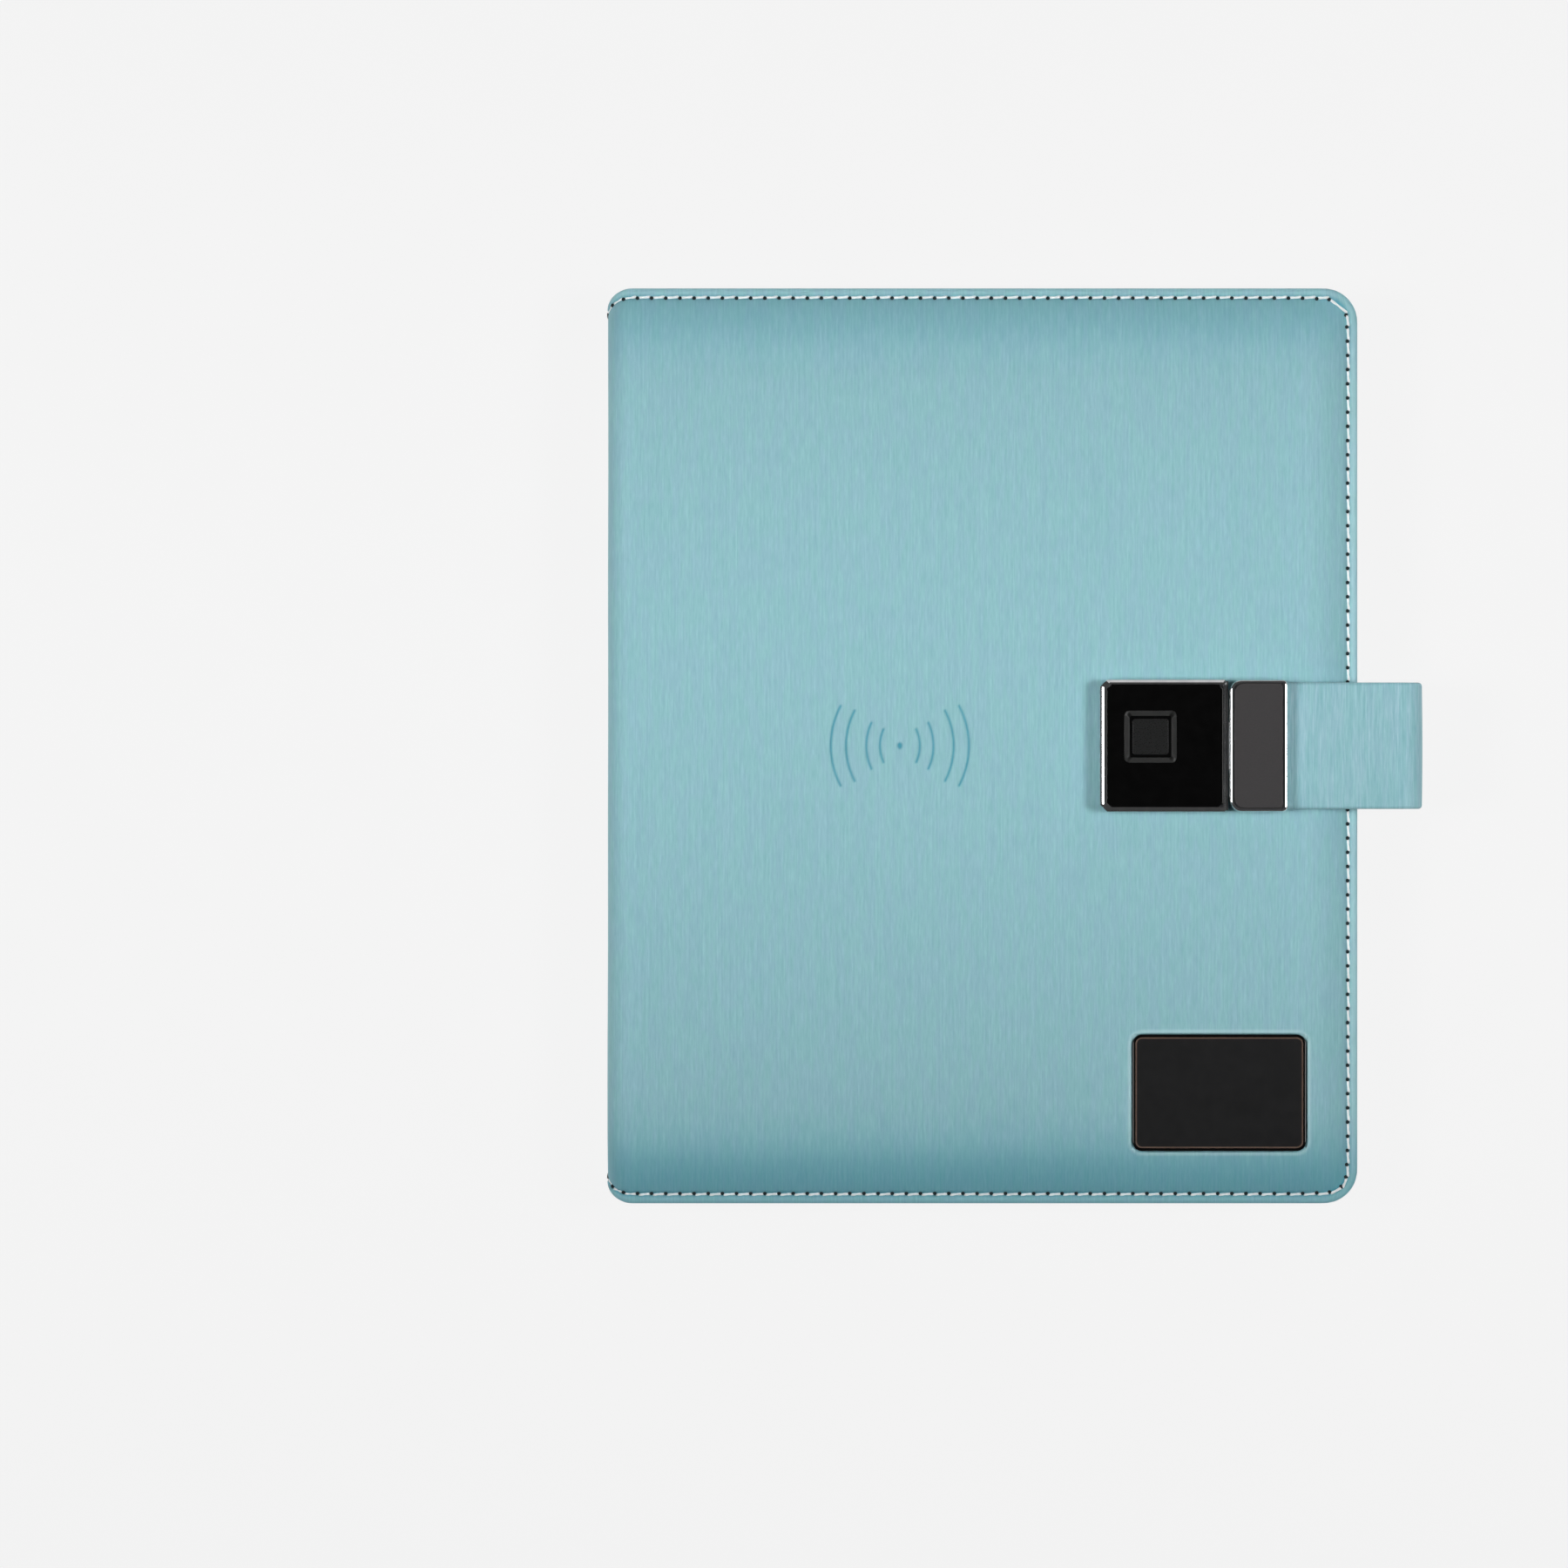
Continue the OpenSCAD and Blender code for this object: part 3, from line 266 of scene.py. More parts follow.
# Window of the same acrylic, rubbed a little duller, with a printed bronze border
WINDOW_BLACK = flecked("smoked_acrylic_window", ("#101011", "#131314"), 2, rough=(0.32, 0.38), bump=0,
                       Specular_IOR_Level=0.22)
WINDOW_LINE = flecked("window_border_bronze", ("#4a3426", "#5c4232"), 0.6, rough=(0.4, 0.5), bump=0.05)
# Satin print round the fingerprint sensor, and the ceramic coat of its pad
SENSOR_RIM = flecked("sensor_rim_satin_black", ("#131413", "#191a19"), 0.4, rough=(0.35, 0.5), bump=0.1,
                     Specular_IOR_Level=0.3)
SENSOR_GLASS = flecked("sensor_ceramic_glass", ("#0c0d0d", "#111212"), 0.3, rough=(0.25, 0.36),
                       bump=0.05, Specular_IOR_Level=0.3)
# Aluminium, bead-blasted and anodised dark grey
CAP_GREY = flecked("anodised_aluminium_grey", ("#292728", "#302d2e"), 0.35, metallic=0.35,
                   rough=(0.42, 0.55), bump=0.1)
# ABS from a spark-eroded mould: an even, fine matt
BLACK_ABS = flecked("moulded_abs_black", ("#17181a", "#202124"), 0.5, rough=(0.4, 0.55))
GREY_ABS = flecked("moulded_abs_grey", ("#6c6f72", "#7a7d80"), 0.5, rough=(0.45, 0.6))
# Waste board, pressed in layers: dull and fibrous
GREYBOARD = flecked("pressed_greyboard", ("#857b6d", "#9c9284"), (0.9, 0.9, 0.2),
                    rough=(0.85, 0.95), bump=0.4)
# Polyurethane foam: open cells that take the light away
FOAM = flecked("open_cell_foam", ("#cfc9b6", "#e4dfd0"), 0.7, rough=(0.9, 1.0), bump=0.8,
               depth=0.3)
# Turns of enamelled wire, of which only the layers show
COPPER = flecked("enamelled_copper_wire", ("#a45a32", "#c47a4a"), (6, 6, 0.4), metallic=1.0,
                 rough=(0.25, 0.35))
# Ground ferrite: a dark ceramic with a fine grain
FERRITE = flecked("sintered_ferrite", ("#2c2c2e", "#3a3a3d"), 0.3, rough=(0.55, 0.7), bump=0.15)
# Aluminium foil laminated in plastic, slightly crumpled
FOIL = flecked("aluminium_laminate_foil", ("#a7aaad", "#c3c6c8"), 1.5, metallic=0.9, rough=(0.3, 0.45),
               bump=0.35)
# Green solder mask over copper tracks
CIRCUIT = flecked("circuit_board_solder_mask", ("#1d5a3c", "#276b49"), 0.8, rough=(0.3, 0.45), bump=0.1)
PAPER = page_block("wood_free_paper_block")


# Solid pieces, made as by hand

def mode(name):
    """Goes to object or edit mode."""
    bpy.ops.object.mode_set(mode=name)


def fresh():
    """Leaves edit mode and deselects everything, before a new primitive comes in."""
    if bpy.context.object and bpy.context.object.mode != "OBJECT":
        mode("OBJECT")
    bpy.ops.object.select_all(action="DESELECT")


def hold(obj):
    """Leaves obj alone selected and active."""
    fresh()
    obj.select_set(True)
    bpy.context.view_layer.objects.active = obj


def edit_all(obj):
    hold(obj)
    mode("EDIT")
    bpy.ops.mesh.select_all(action="SELECT")


def flip(obj):
    """Turns all faces of obj round."""
    edit_all(obj)
    bpy.ops.mesh.flip_normals()
    mode("OBJECT")


def weld(obj):
    """Joins the vertices of obj that lie in one place."""
    edit_all(obj)
    bpy.ops.mesh.remove_doubles(threshold=TINY)
    mode("OBJECT")


def modify(obj, kind, **settings):
    """Adds a modifier and applies it."""
    hold(obj)
    modifier = obj.modifiers.new(kind.title(), kind)
    for key, value in settings.items():
        setattr(modifier, key, value)
    bpy.ops.object.modifier_apply(modifier=modifier.name)


def pick(obj, kind, test):
    """Selects the edges or faces of obj that pass the test, by their middle and direction, in edit mode."""
    hold(obj)
    bpy.context.tool_settings.mesh_select_mode = (False, kind == "EDGE", kind == "FACE")
    mode("EDIT")
    bpy.ops.mesh.select_all(action="DESELECT")
    mode("OBJECT")
    mesh = obj.data
    if kind == "FACE":
        for face in mesh.polygons:
            face.select = bool(test(face.center, face.normal))
    else:
        for edge in mesh.edges:
            a, b = (mesh.vertices[k].co for k in edge.vertices)
            edge.select = bool(test((a + b) / 2, (b - a).normalized()))
    mode("EDIT")


def finish_mesh(obj, angle=35, flat=False):
    """Back to object mode, smooth shaded up to the given angle; flat faces can keep their own normals."""
    hold(obj)
    bpy.ops.object.shade_smooth_by_angle(angle=math.radians(angle))
    if flat:
        modify(obj, "WEIGHTED_NORMAL", keep_sharp=True, weight=100)
    return obj


def upright(low=-math.inf, high=math.inf):
    """A test for upright edges that stand between two places along X."""
    return lambda middle, direction: abs(direction.z) > 0.9 and low < middle.x < high


def level(height):
    """A test for level edges at a height."""
    return lambda middle, direction: abs(direction.z) < 0.1 and abs(middle.z - height) < TINY


def facing_up(height):
    """A test for faces that look up at a height."""
    return lambda middle, normal: normal.z > 0.9 and abs(middle.z - height) < TINY


def bevel(obj, test, offset, segments=1):
    """Cuts or rounds the edges of obj that pass the test."""
    pick(obj, "EDGE", test)
    bpy.ops.mesh.bevel(offset=offset, segments=segments, affect="EDGES")


def paint(obj, material):
    """Gives the selected faces a material of their own."""
    obj.data.materials.append(material)
    obj.active_material_index = len(obj.data.materials) - 1
    bpy.ops.object.material_slot_assign()


def block(name, low, high, material, corner=0.0, steps=5, top=0.0):
    """A block between two corners, its upright edges rounded in that many steps and its top rim softened."""
    fresh()
    middle = [(a + b) / 2 for a, b in zip(low, high)]
    size = [b - a for a, b in zip(low, high)]
    bpy.ops.mesh.primitive_cube_add(size=1, location=middle, scale=size)
    obj = bpy.context.object
    obj.name = name
    bpy.ops.object.transform_apply(location=True, rotation=True, scale=True)
    if corner:
        bevel(obj, upright(), corner, steps)
    if top:
        bevel(obj, level(high[2]), top, 3)
    obj.data.materials.append(material)
    return finish_mesh(obj, flat=True)


def copies(master, matrices, name):
    """One piece of many like ones: the master's mesh copied to each place, then joined; the master goes."""
    fresh()
    made = []
    for matrix in matrices:
        one = bpy.data.objects.new(name, master.data.copy())
        one.data.transform(matrix)
        bpy.context.scene.collection.objects.link(one)
        one.select_set(True)
        made.append(one)
    bpy.context.view_layer.objects.active = made[0]
    bpy.ops.object.join()
    piece = bpy.context.object
    piece.name = name
    bpy.data.objects.remove(master)
    return piece


def settle(obj, slot, body=None, *nodes):
    """What every finished piece needs: its body, and the nodes that it stands for, which it hides. The slot
    is not used.
    A piece given no body rides on none."""
    if body:
        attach(obj, body)
    if nodes:
        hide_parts(*nodes)


# The leather of the covers, as sheets

def lines(*stretches):
    """Places of the rows of a sheet: each stretch goes to its end in steps of about the given size."""
    places = [stretches[0][0]]
    for end, step in stretches[1:]:
        count = max(1, round(abs(end - places[-1]) / step))
        places += [places[-1] + (end - places[-1]) * (k + 1) / count for k in range(count)]
    return np.array(places)


def lattice(name, columns, rows):
    """A grid of that many columns and rows of vertices, and the column and row of each vertex."""
    fresh()
    bpy.ops.mesh.primitive_grid_add(x_subdivisions=columns - 1, y_subdivisions=rows - 1, size=2)
    obj = bpy.context.object
    obj.name = name
    flat = np.zeros(len(obj.data.vertices) * 3)
    obj.data.vertices.foreach_get("co", flat)
    flat = flat.reshape(-1, 3)
    i = np.rint((flat[:, 0] + 1) / 2 * (columns - 1)).astype(int)
    j = np.rint((flat[:, 1] + 1) / 2 * (rows - 1)).astype(int)
    return obj, i, j


def put(obj, points):
    obj.data.vertices.foreach_set("co", np.asarray(points, np.float32).ravel())
    obj.data.update()


def store(obj, name, values):
    """Keeps a number or a place for each vertex, which a material reads."""
    kind = "FLOAT" if values.ndim == 1 else "FLOAT_VECTOR"
    layer = obj.data.attributes.new(name, kind, "POINT")
    layer.data.foreach_set("value" if values.ndim == 1 else "vector", values.astype(np.float32).ravel())


def close_ends(obj):
    """Welds a rolled-up lattice into a tube and fills its open ends."""
    weld(obj)
    bpy.context.tool_settings.mesh_select_mode = (False, True, False)
    mode("EDIT")
    bpy.ops.mesh.select_all(action="DESELECT")
    bpy.ops.mesh.select_non_manifold()
    bpy.ops.mesh.fill()
    bpy.ops.mesh.select_all(action="SELECT")
    bpy.ops.mesh.normals_make_consistent(inside=False)
    mode("OBJECT")


class Cover:
    """One half of the leather case, laid out flat as a sheet: u runs from the middle of the spine round the
    roll to the fore edge, v runs along the spine. It gives the cover's outer and inner face in space."""

    def __init__(self, up, crown, inner_level):
        self.up = up
        self.crown = crown
        self.inner = abs(inner_level - Z_MID)
        self.u_roll = Z_MID - ROLL_R
        self.u_cover = self.u_roll + math.pi / 2 * ROLL_R
        self.u_fore = self.u_cover + X_FORE - X_COVER

    def plan(self, u, v):
        """Place of a sheet point in plan, with round fore corners, and its distance from the outline."""
        x = X_COVER + u - self.u_cover
        a = np.clip((x - (X_FORE - CORNER_R)) / CORNER_R, 0, 1)
        b = np.clip((np.abs(v) - (Y_EDGE - CORNER_R)) / CORNER_R, 0, 1)
        round_a = a * np.sqrt(1 - b * b / 2)
        round_b = b * np.sqrt(1 - a * a / 2)
        in_corner = (a > 0) & (b > 0)
        px = np.where(in_corner, X_FORE - CORNER_R + CORNER_R * round_a, x)
        py = np.where(in_corner, np.sign(v) * (Y_EDGE - CORNER_R + CORNER_R * round_b), v)
        edge = np.minimum(X_FORE - x, Y_EDGE - np.abs(v))
        edge = np.where(in_corner, CORNER_R * (1 - np.hypot(round_a, round_b)), edge)
        return px, py, edge

    def turn(self, u):
        """Angle along the roll, from 0 on the spine to a quarter turn on the cover."""
        return np.clip((u - self.u_roll) / ROLL_R, 0, math.pi / 2)

    def padding(self, px, py, spine):
        """Height of the padded surface over the seam, 0 to 1, soft at the corners."""
        qx = np.clip(1 - (X_FORE - px) / CROWN_W, 0, 1)
        qy = np.clip(1 - (Y_EDGE - np.abs(py)) / CROWN_W, 0, 1)
        qx = np.where(spine, 0, qx)
        q = (qx ** 4 + qy ** 4) ** 0.25
        depth = CROWN_W * (1 - np.clip(q, 0, 1))
        start = 2.5 * MM
        along = np.clip((depth - start) / (CROWN_W - start), 0, 1)
        return 1 - (1 - along) ** 2.7

    def outside(self, u, v):
        """Points on the outer face, their normals and their distance from the edge."""
        px, py, edge = self.plan(u, v)
        turn = self.turn(u)
        on_spine = u < self.u_cover
        drop = self.crown * (1 - self.padding(px, py, on_spine))
        foot = Z_MID - ROLL_R - drop
        height = np.where(on_spine, foot + ROLL_R * np.sin(turn), Z_MID - drop)
        height = np.where(u < self.u_roll, foot * u / self.u_roll, height)
        x = np.where(on_spine, X_COVER - ROLL_R * np.cos(turn), px)
        y = py * (1 - SPINE_END / Y_EDGE * (1 - np.sin(turn)))
        points = np.stack([x, y, Z_MID + self.up * height], -1)
        normals = np.stack([-np.cos(turn), np.zeros_like(turn), self.up * np.sin(turn)], -1)
        return points, normals, edge

    def inside(self, u, v):
        """Points on the inner face, which cuts the corner under the roll."""
        px, py, edge = self.plan(u, v)
        x_in = X_SPINE + SPINE_T
        far = self.u_cover + x_in + LINING_ROLL - X_COVER
        turn = np.clip((u - self.u_roll) / (far - self.u_roll), 0, 1) * math.pi / 2
        low = self.inner - LINING_ROLL
        height = low + LINING_ROLL * np.sin(turn)
        height = np.where(u < self.u_roll, low * u / self.u_roll, height)
        x = np.where(u < far, x_in + LINING_ROLL * (1 - np.cos(turn)), px)
        y = py * (1 - SPINE_END / Y_EDGE * (1 - np.sin(self.turn(u))))
        points = np.stack([x, y, Z_MID + self.up * height], -1)
        normals = np.stack([np.cos(turn), np.zeros_like(turn), -self.up * np.sin(turn)], -1)
        return points, normals


FRONT = Cover(1, CROWN_H, Z_FRONT)
BACK = Cover(-1, 0.0, Z_BACK)

# The rows of leather that wrap round the edge: how far down the edge as a share, how far in again in
# millimetres, and how far the grain runs on
WRAP = [(0, 0, 0), (0.22, 0, 1), (0.5, -0.05, 2), (0.8, 0.1, 3), (0.92, 0.7, 4), (0.93, 2, 5.5),
        (0.93, 7, 10)]


def bell(place, middle, width):
    """A soft rise and fall about a middle, 1 at its top."""
    return np.exp(-((place - middle) / width) ** 2)


def edge_shape(edge):
    """Height of the sheet over its plain form near the edge: rounded rim, swelling and pulled-in seam."""
    rim = 0.9 * MM
    drop = np.where(edge < rim, rim - np.sqrt(np.maximum(rim ** 2 - (rim - edge) ** 2, 0)), 0)
    seam = 0.42 * MM * bell(edge, STITCH_IN, 0.55 * MM)
    swell = 0.16 * MM * bell(edge, 1.3 * MM, 0.5 * MM)
    return swell - seam - drop


def leather_sheet(name, cover, us, vs, shape):
    """The outer leather of one cover with its edges wrapped round, as one closed shell."""
    wraps = len(WRAP) - 1
    columns = len(us) + wraps
    rows = len(vs) + 2 * wraps
    obj, i, j = lattice(name, columns, rows)
    ring_x = np.maximum(i - (len(us) - 1), 0)
    ring_y = np.maximum(np.maximum(wraps - j, j - wraps - len(vs) + 1), 0)
    ring = np.maximum(ring_x, ring_y)
    u = us[np.minimum(i, len(us) - 1)]
    v = vs[np.clip(j - wraps, 0, len(vs) - 1)]
    points, normals, edge = cover.outside(u, v)
    lift, tone = shape(u, v, points, edge)
    points = points + normals * lift[:, None]
    target, _ = cover.inside(u, v)
    # Outwards in plan, which is where the wrap comes back in from
    away_x = np.maximum(points[:, 0] - (X_FORE - CORNER_R), 0)
    away_y = np.maximum(np.abs(points[:, 1]) - (Y_EDGE - CORNER_R), 0) * np.sign(v)
    size = np.maximum(np.hypot(away_x, away_y), 1e-9)
    down, back, further = np.array(WRAP)[ring].T
    wrapped = points + (target - points) * down[:, None]
    wrapped[:, 0] -= away_x / size * back * MM
    wrapped[:, 1] -= away_y / size * back * MM
    put(obj, np.where(ring[:, None] > 0, wrapped, points))
    grain_v = v + np.sign(v) * further * MM * (ring_y > 0)
    store(obj, "grain", np.stack([u + ring_x * 1.2 * MM, grain_v, np.full_like(u, 0.1 * cover.up)], -1))
    store(obj, "tone", np.where(ring > 0, 0.5, tone))
    weld(obj)
    if cover.up < 0:
        flip(obj)
    modify(obj, "SOLIDIFY", thickness=0.8 * MM, offset=-1, use_even_offset=False)
    obj.data.materials.append(LEATHER)
    return finish_mesh(obj, 60)


def arc_distance(x, y, centre, radius, half_angle, side):
    """Distance in plan to an arc about a centre, which opens to one side and ends at the half angle."""
    dx = (x - centre[0]) * side
    dy = y - centre[1]
    angle = np.arctan2(dy, dx)
    held = np.clip(angle, -half_angle, half_angle)
    return np.hypot(dx - radius * np.cos(held), dy - radius * np.sin(held))


# Sign for wireless charging, pressed in over the coil: a dot between growing waves
coil_low, coil_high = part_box("charge_coil")
SIGN_X = (coil_low.x + coil_high.x) / 2
SIGN_Y = (coil_low.y + coil_high.y) / 2
# Of each wave: how far its middle lies from the dot, its half height and its radius
WAVES = [(5.1, 4.2, 10.3), (8.6, 5.9, 14.0), (13.8, 9.0, 19.5), (17.7, 10.2, 22.0)]
GROOVE = 0.85 * MM


def sign_depth(px, py):
    """Depth of the pressed sign, 0 to 1."""
    x = px - SIGN_X
    y = py - SIGN_Y
    nearest = np.hypot(x / 1.0, y / 1.35) - 0.35 * MM
    for middle, half, radius in WAVES:
        half_angle = math.asin(half / radius)
        for side in (-1, 1):
            centre = (side * (middle - radius) * MM, 0)
            nearest = np.minimum(nearest, arc_distance(x, y, centre, radius * MM, half_angle, side))
    t = np.clip(1 - nearest / (GROOVE * 0.62), 0, 1)
    return t * t * (3 - 2 * t)


window_low, window_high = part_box("window_plate")
WINDOW_R = 2.4 * MM


def window_distance(px, py):
    """Distance outside the window's outline in plan, negative within it."""
    cx = (window_low.x + window_high.x) / 2
    cy = (window_low.y + window_high.y) / 2
    qx = np.abs(px - cx) - (window_high.x - window_low.x) / 2 + WINDOW_R
    qy = np.abs(py - cy) - (window_high.y - window_low.y) / 2 + WINDOW_R
    outside = np.hypot(np.maximum(qx, 0), np.maximum(qy, 0))
    return outside + np.minimum(np.maximum(qx, qy), 0) - WINDOW_R


def step_down(distance, width):
    t = np.clip(0.5 - distance / width, 0, 1)
    return t * t * (3 - 2 * t)


def uneven(u, v, seed):
    """Slight hand-made unevenness of padding, about 1 at most, from a few long waves."""
    rng = np.random.default_rng(seed)
    total = np.zeros_like(u)
    for _ in range(14):
        kx, ky = rng.normal(0, 1 / (26 * MM), 2)
        total += np.sin(kx * u + ky * v + rng.uniform(0, 6.28))
    return total / 6


# Depths of the sign and the window's seat, height of the ridge round the window and of the unevenness
SIGN_DEPTH = 0.36 * MM
SEAT_DEPTH = 1.1 * MM
RIDGE_H = 0.12 * MM
UNEVEN_H = 0.16 * MM


def edge_tone(edge, light, dark):
    """Tone of the leather at its edge: a lighter margin, and a darker line along the seam's groove, partly
    pressed leather and partly painted shade.
    """
    return light * bell(edge, 1.1 * MM, 0.9 * MM) - dark * bell(edge, STITCH_IN, 0.45 * MM)


def front_shape(u, v, points, edge):
    """Lift of the front leather over its plain form, and its tone, from 0 dark to 1 light, with painted shade
    in it.
    """
    px = points[:, 0]
    py = points[:, 1]
    on_top = u > FRONT.u_cover
    sign = np.where(on_top, sign_depth(px, py), 0)
    gap = window_distance(px, py)
    sunk = np.where(on_top, step_down(gap - 0.1 * MM, 0.5 * MM), 0)
    ridge = np.where(on_top, bell(gap, 0.75 * MM, 0.45 * MM), 0)
    inner = np.clip(edge / (12 * MM), 0, 1)
    lift = edge_shape(edge) - SIGN_DEPTH * sign - SEAT_DEPTH * sunk + RIDGE_H * ridge
    lift += UNEVEN_H * inner * uneven(u, v, 3)
    # Painted shade: the leather is darkened over the steep ends of the padding, more at the lower end, where
    # those slopes turn away from the lamps
    ends = bell(Y_EDGE - np.abs(v), 4 * MM, 13 * MM) * np.where(v > 0, 0.11, 0.23)
    # Painted shade in the tone: the sign's grooves, which are also pressed leather, and the dip into the
    # window's seat are darker; the ridge round the window is lighter
    tone = 0.5 - 0.4 * sign + edge_tone(edge, 0.16, 0.22) + 0.3 * ridge - 0.2 * sunk - ends
    return lift, np.clip(tone, 0, 1)


def back_shape(u, v, points, edge):
    """The back cover is boarded and flat, with the same seam."""
    inner = np.clip(edge / (10 * MM), 0, 1)
    lift = edge_shape(edge) * 0.8 - 0.06 * MM * inner
    return lift, np.clip(0.5 + edge_tone(edge, 0.12, 0.2), 0, 1)


# Steps of the columns and rows: over plain leather, the sign, the window's outline, the seam and the rim
PLAIN_STEP = 2 * MM
SIGN_STEP = 0.3 * MM
WINDOW_STEP = 0.25 * MM
SEAM_STEP = 0.35 * MM
RIM_STEP = 0.18 * MM
# How far in from the edge the seam and the rim reach, how far the sign reaches from its dot, and how far the
# fine rows reach on either side of the window's outline
SEAM_BAND = 5 * MM
RIM_BAND = 0.9 * MM
SIGN_HALF_X = 19.5 * MM
SIGN_HALF_Y = 11 * MM
WINDOW_OUT = 1.6 * MM
WINDOW_IN = 0.4 * MM


def past_sign(middle, half):
    """Stretches up to and over the sign."""
    return [(middle - half, PLAIN_STEP), (middle + half, SIGN_STEP)]


def past_window(low, high):
    """Stretches up to and over the window, fine at its outline."""
    return [(low - WINDOW_OUT, PLAIN_STEP), (low + WINDOW_IN, WINDOW_STEP),
            (high - WINDOW_IN, PLAIN_STEP), (high + WINDOW_OUT, WINDOW_STEP)]


def to_edge(end):
    """Stretches up to an edge, over its seam and its rim."""
    return [(end - SEAM_BAND, PLAIN_STEP), (end - RIM_BAND, SEAM_STEP), (end, RIM_STEP)]


def sheet_u(cover, fine):
    """Columns of a cover sheet; the fine ones follow the sign, the window and the seam."""
    stretches = [(0, 0), (cover.u_roll, 1.6 * MM), (cover.u_cover, 0.7 * MM)]
    zero = cover.u_cover - X_COVER
    if fine:
        stretches += past_sign(zero + SIGN_X, SIGN_HALF_X)
        stretches += past_window(zero + window_low.x, zero + window_high.x)
    return lines(*stretches, *to_edge(cover.u_fore))


def sheet_v(fine):
    """Rows of a cover sheet."""
    stretches = [(-Y_EDGE, 0), (-Y_EDGE + RIM_BAND, RIM_STEP), (-Y_EDGE + SEAM_BAND, SEAM_STEP)]
    if fine:
        stretches += past_window(window_low.y, window_high.y) + past_sign(SIGN_Y, SIGN_HALF_Y)
    return lines(*stretches, *to_edge(Y_EDGE))


def bend_cover(obj, cover):
    """Bakes the piece's place into its mesh, the same for either cover."""
    if cover.up > 0:
        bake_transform(obj)
    else:
        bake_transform(obj)


front_leather = leather_sheet("front_leather", FRONT, sheet_u(FRONT, True), sheet_v(True), front_shape)
settle(front_leather, "leather", None, "front_skin", "spine_skin")
bend_cover(front_leather, FRONT)

back_leather = leather_sheet("back_leather", BACK, sheet_u(BACK, False), sheet_v(False), back_shape)
settle(back_leather, "leather", None, "back_skin")
bend_cover(back_leather, BACK)

# Strap

flap_low, flap_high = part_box("strap_flap")
root_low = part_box("strap_root")[0]
side_low, side_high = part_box("strap_side")
STRAP_T = side_high.x - side_low.x
STRAP_W = flap_high.y - flap_low.y
STRAP_BEND = 5.3 * MM
STRAP_EDGE_R = 0.95 * MM
STRAP_X = side_high.x
QUARTER = math.pi / 2


def heading(angle):
    """Unit vector at an angle in the plane of the strap's path."""
    return Vector((math.cos(angle), math.sin(angle)))


def run(a, b, angle):
    """A straight run of the strap, as points on its outer face with their outward normals."""
    count = max(2, round(math.dist(a, b) / (2.2 * MM)))
    return [(Vector(a).lerp(Vector(b), k / count), heading(angle)) for k in range(count + 1)]


def bend(x, z, angle):
    """A quarter bend of the strap about a centre, which turns on from an angle."""
    steps = 9
    normals = [heading(angle - QUARTER * k / steps) for k in range(1, steps + 1)]
    return [(Vector((x, z)) + normal * STRAP_BEND, normal) for normal in normals]


def strap_section():
    """Across the strap: place along its width and depth under the outer face, round the edge and back."""
    half = STRAP_W / 2
    r = STRAP_EDGE_R
    outer = [(y, 0.0) for y in np.linspace(-half + r, half - r, 23)]
    right = [(half - r + r * math.sin(a), r - r * math.cos(a)) for a in np.linspace(0.35, QUARTER, 4)]
    right += [(half - r + r * math.sin(a), STRAP_T - r - r * math.cos(a))
              for a in np.linspace(QUARTER, 2.8, 4)]
    inner = [(y, STRAP_T) for y in np.linspace(half - r, -half + r, 9)]
    left = [(-y, d) for y, d in reversed(right)]
    return np.array(outer + right + inner + left + outer[:1])


def strap_piece(name, path, offset=0.0):
    """A length of strap: a flat leather band with rolled edges."""
    section = strap_section()
    obj, i, j = lattice(name, len(path), len(section))
    places, normals = (np.array(column) for column in zip(*path))
    steps = np.linalg.norm(np.diff(places, axis=0), axis=1)
    along = offset + np.concatenate(([0], np.cumsum(steps)))[i]
    across, depth = section[j].T
    crown = 0.12 * MM * np.cos(across / STRAP_W * math.pi) * (depth < 0.1 * MM)
    flat = places[i] - normals[i] * (depth - crown)[:, None]
    put(obj, np.stack([flat[:, 0], across, flat[:, 1]], -1))
    store(obj, "grain", np.stack([along, across + depth, np.full_like(along, 0.3)], -1))
    close_ends(obj)
    obj.data.materials.append(STRAP_LEATHER)
    return finish_mesh(obj, 60)


# The straight runs end just outside the bends, and the bends open a little beyond those
BEND_X = STRAP_X - STRAP_BEND
BEND_ROOM = 0.3 * MM
TOP_Z = flap_high.z
FOOT_Z = root_low.z
SIDE_MID = Z_TOP / 2 + 2.3 * MM
upper_strap = strap_piece(
    "strap_upper",
    run((flap_low.x, TOP_Z), (BEND_X, TOP_Z), QUARTER)
    + bend(BEND_X, TOP_Z - STRAP_BEND, QUARTER)
    + run((STRAP_X, TOP_Z - STRAP_BEND - BEND_ROOM), (STRAP_X, SIDE_MID), 0))
settle(upper_strap, "leather", None, "strap_flap", "strap_side")
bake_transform(upper_strap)

lower_strap = strap_piece(
    "strap_lower",
    run((STRAP_X, SIDE_MID), (STRAP_X, FOOT_Z + STRAP_BEND + BEND_ROOM), 0)
    + bend(BEND_X, FOOT_Z + STRAP_BEND, 0)
    + run((BEND_X - BEND_ROOM, FOOT_Z), (X_FORE - 3 * MM, FOOT_Z), -QUARTER),
    upper_strap.dimensions.z + 60 * MM)
settle(lower_strap, "leather", None, "strap_root")
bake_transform(lower_strap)

# Inside of the covers

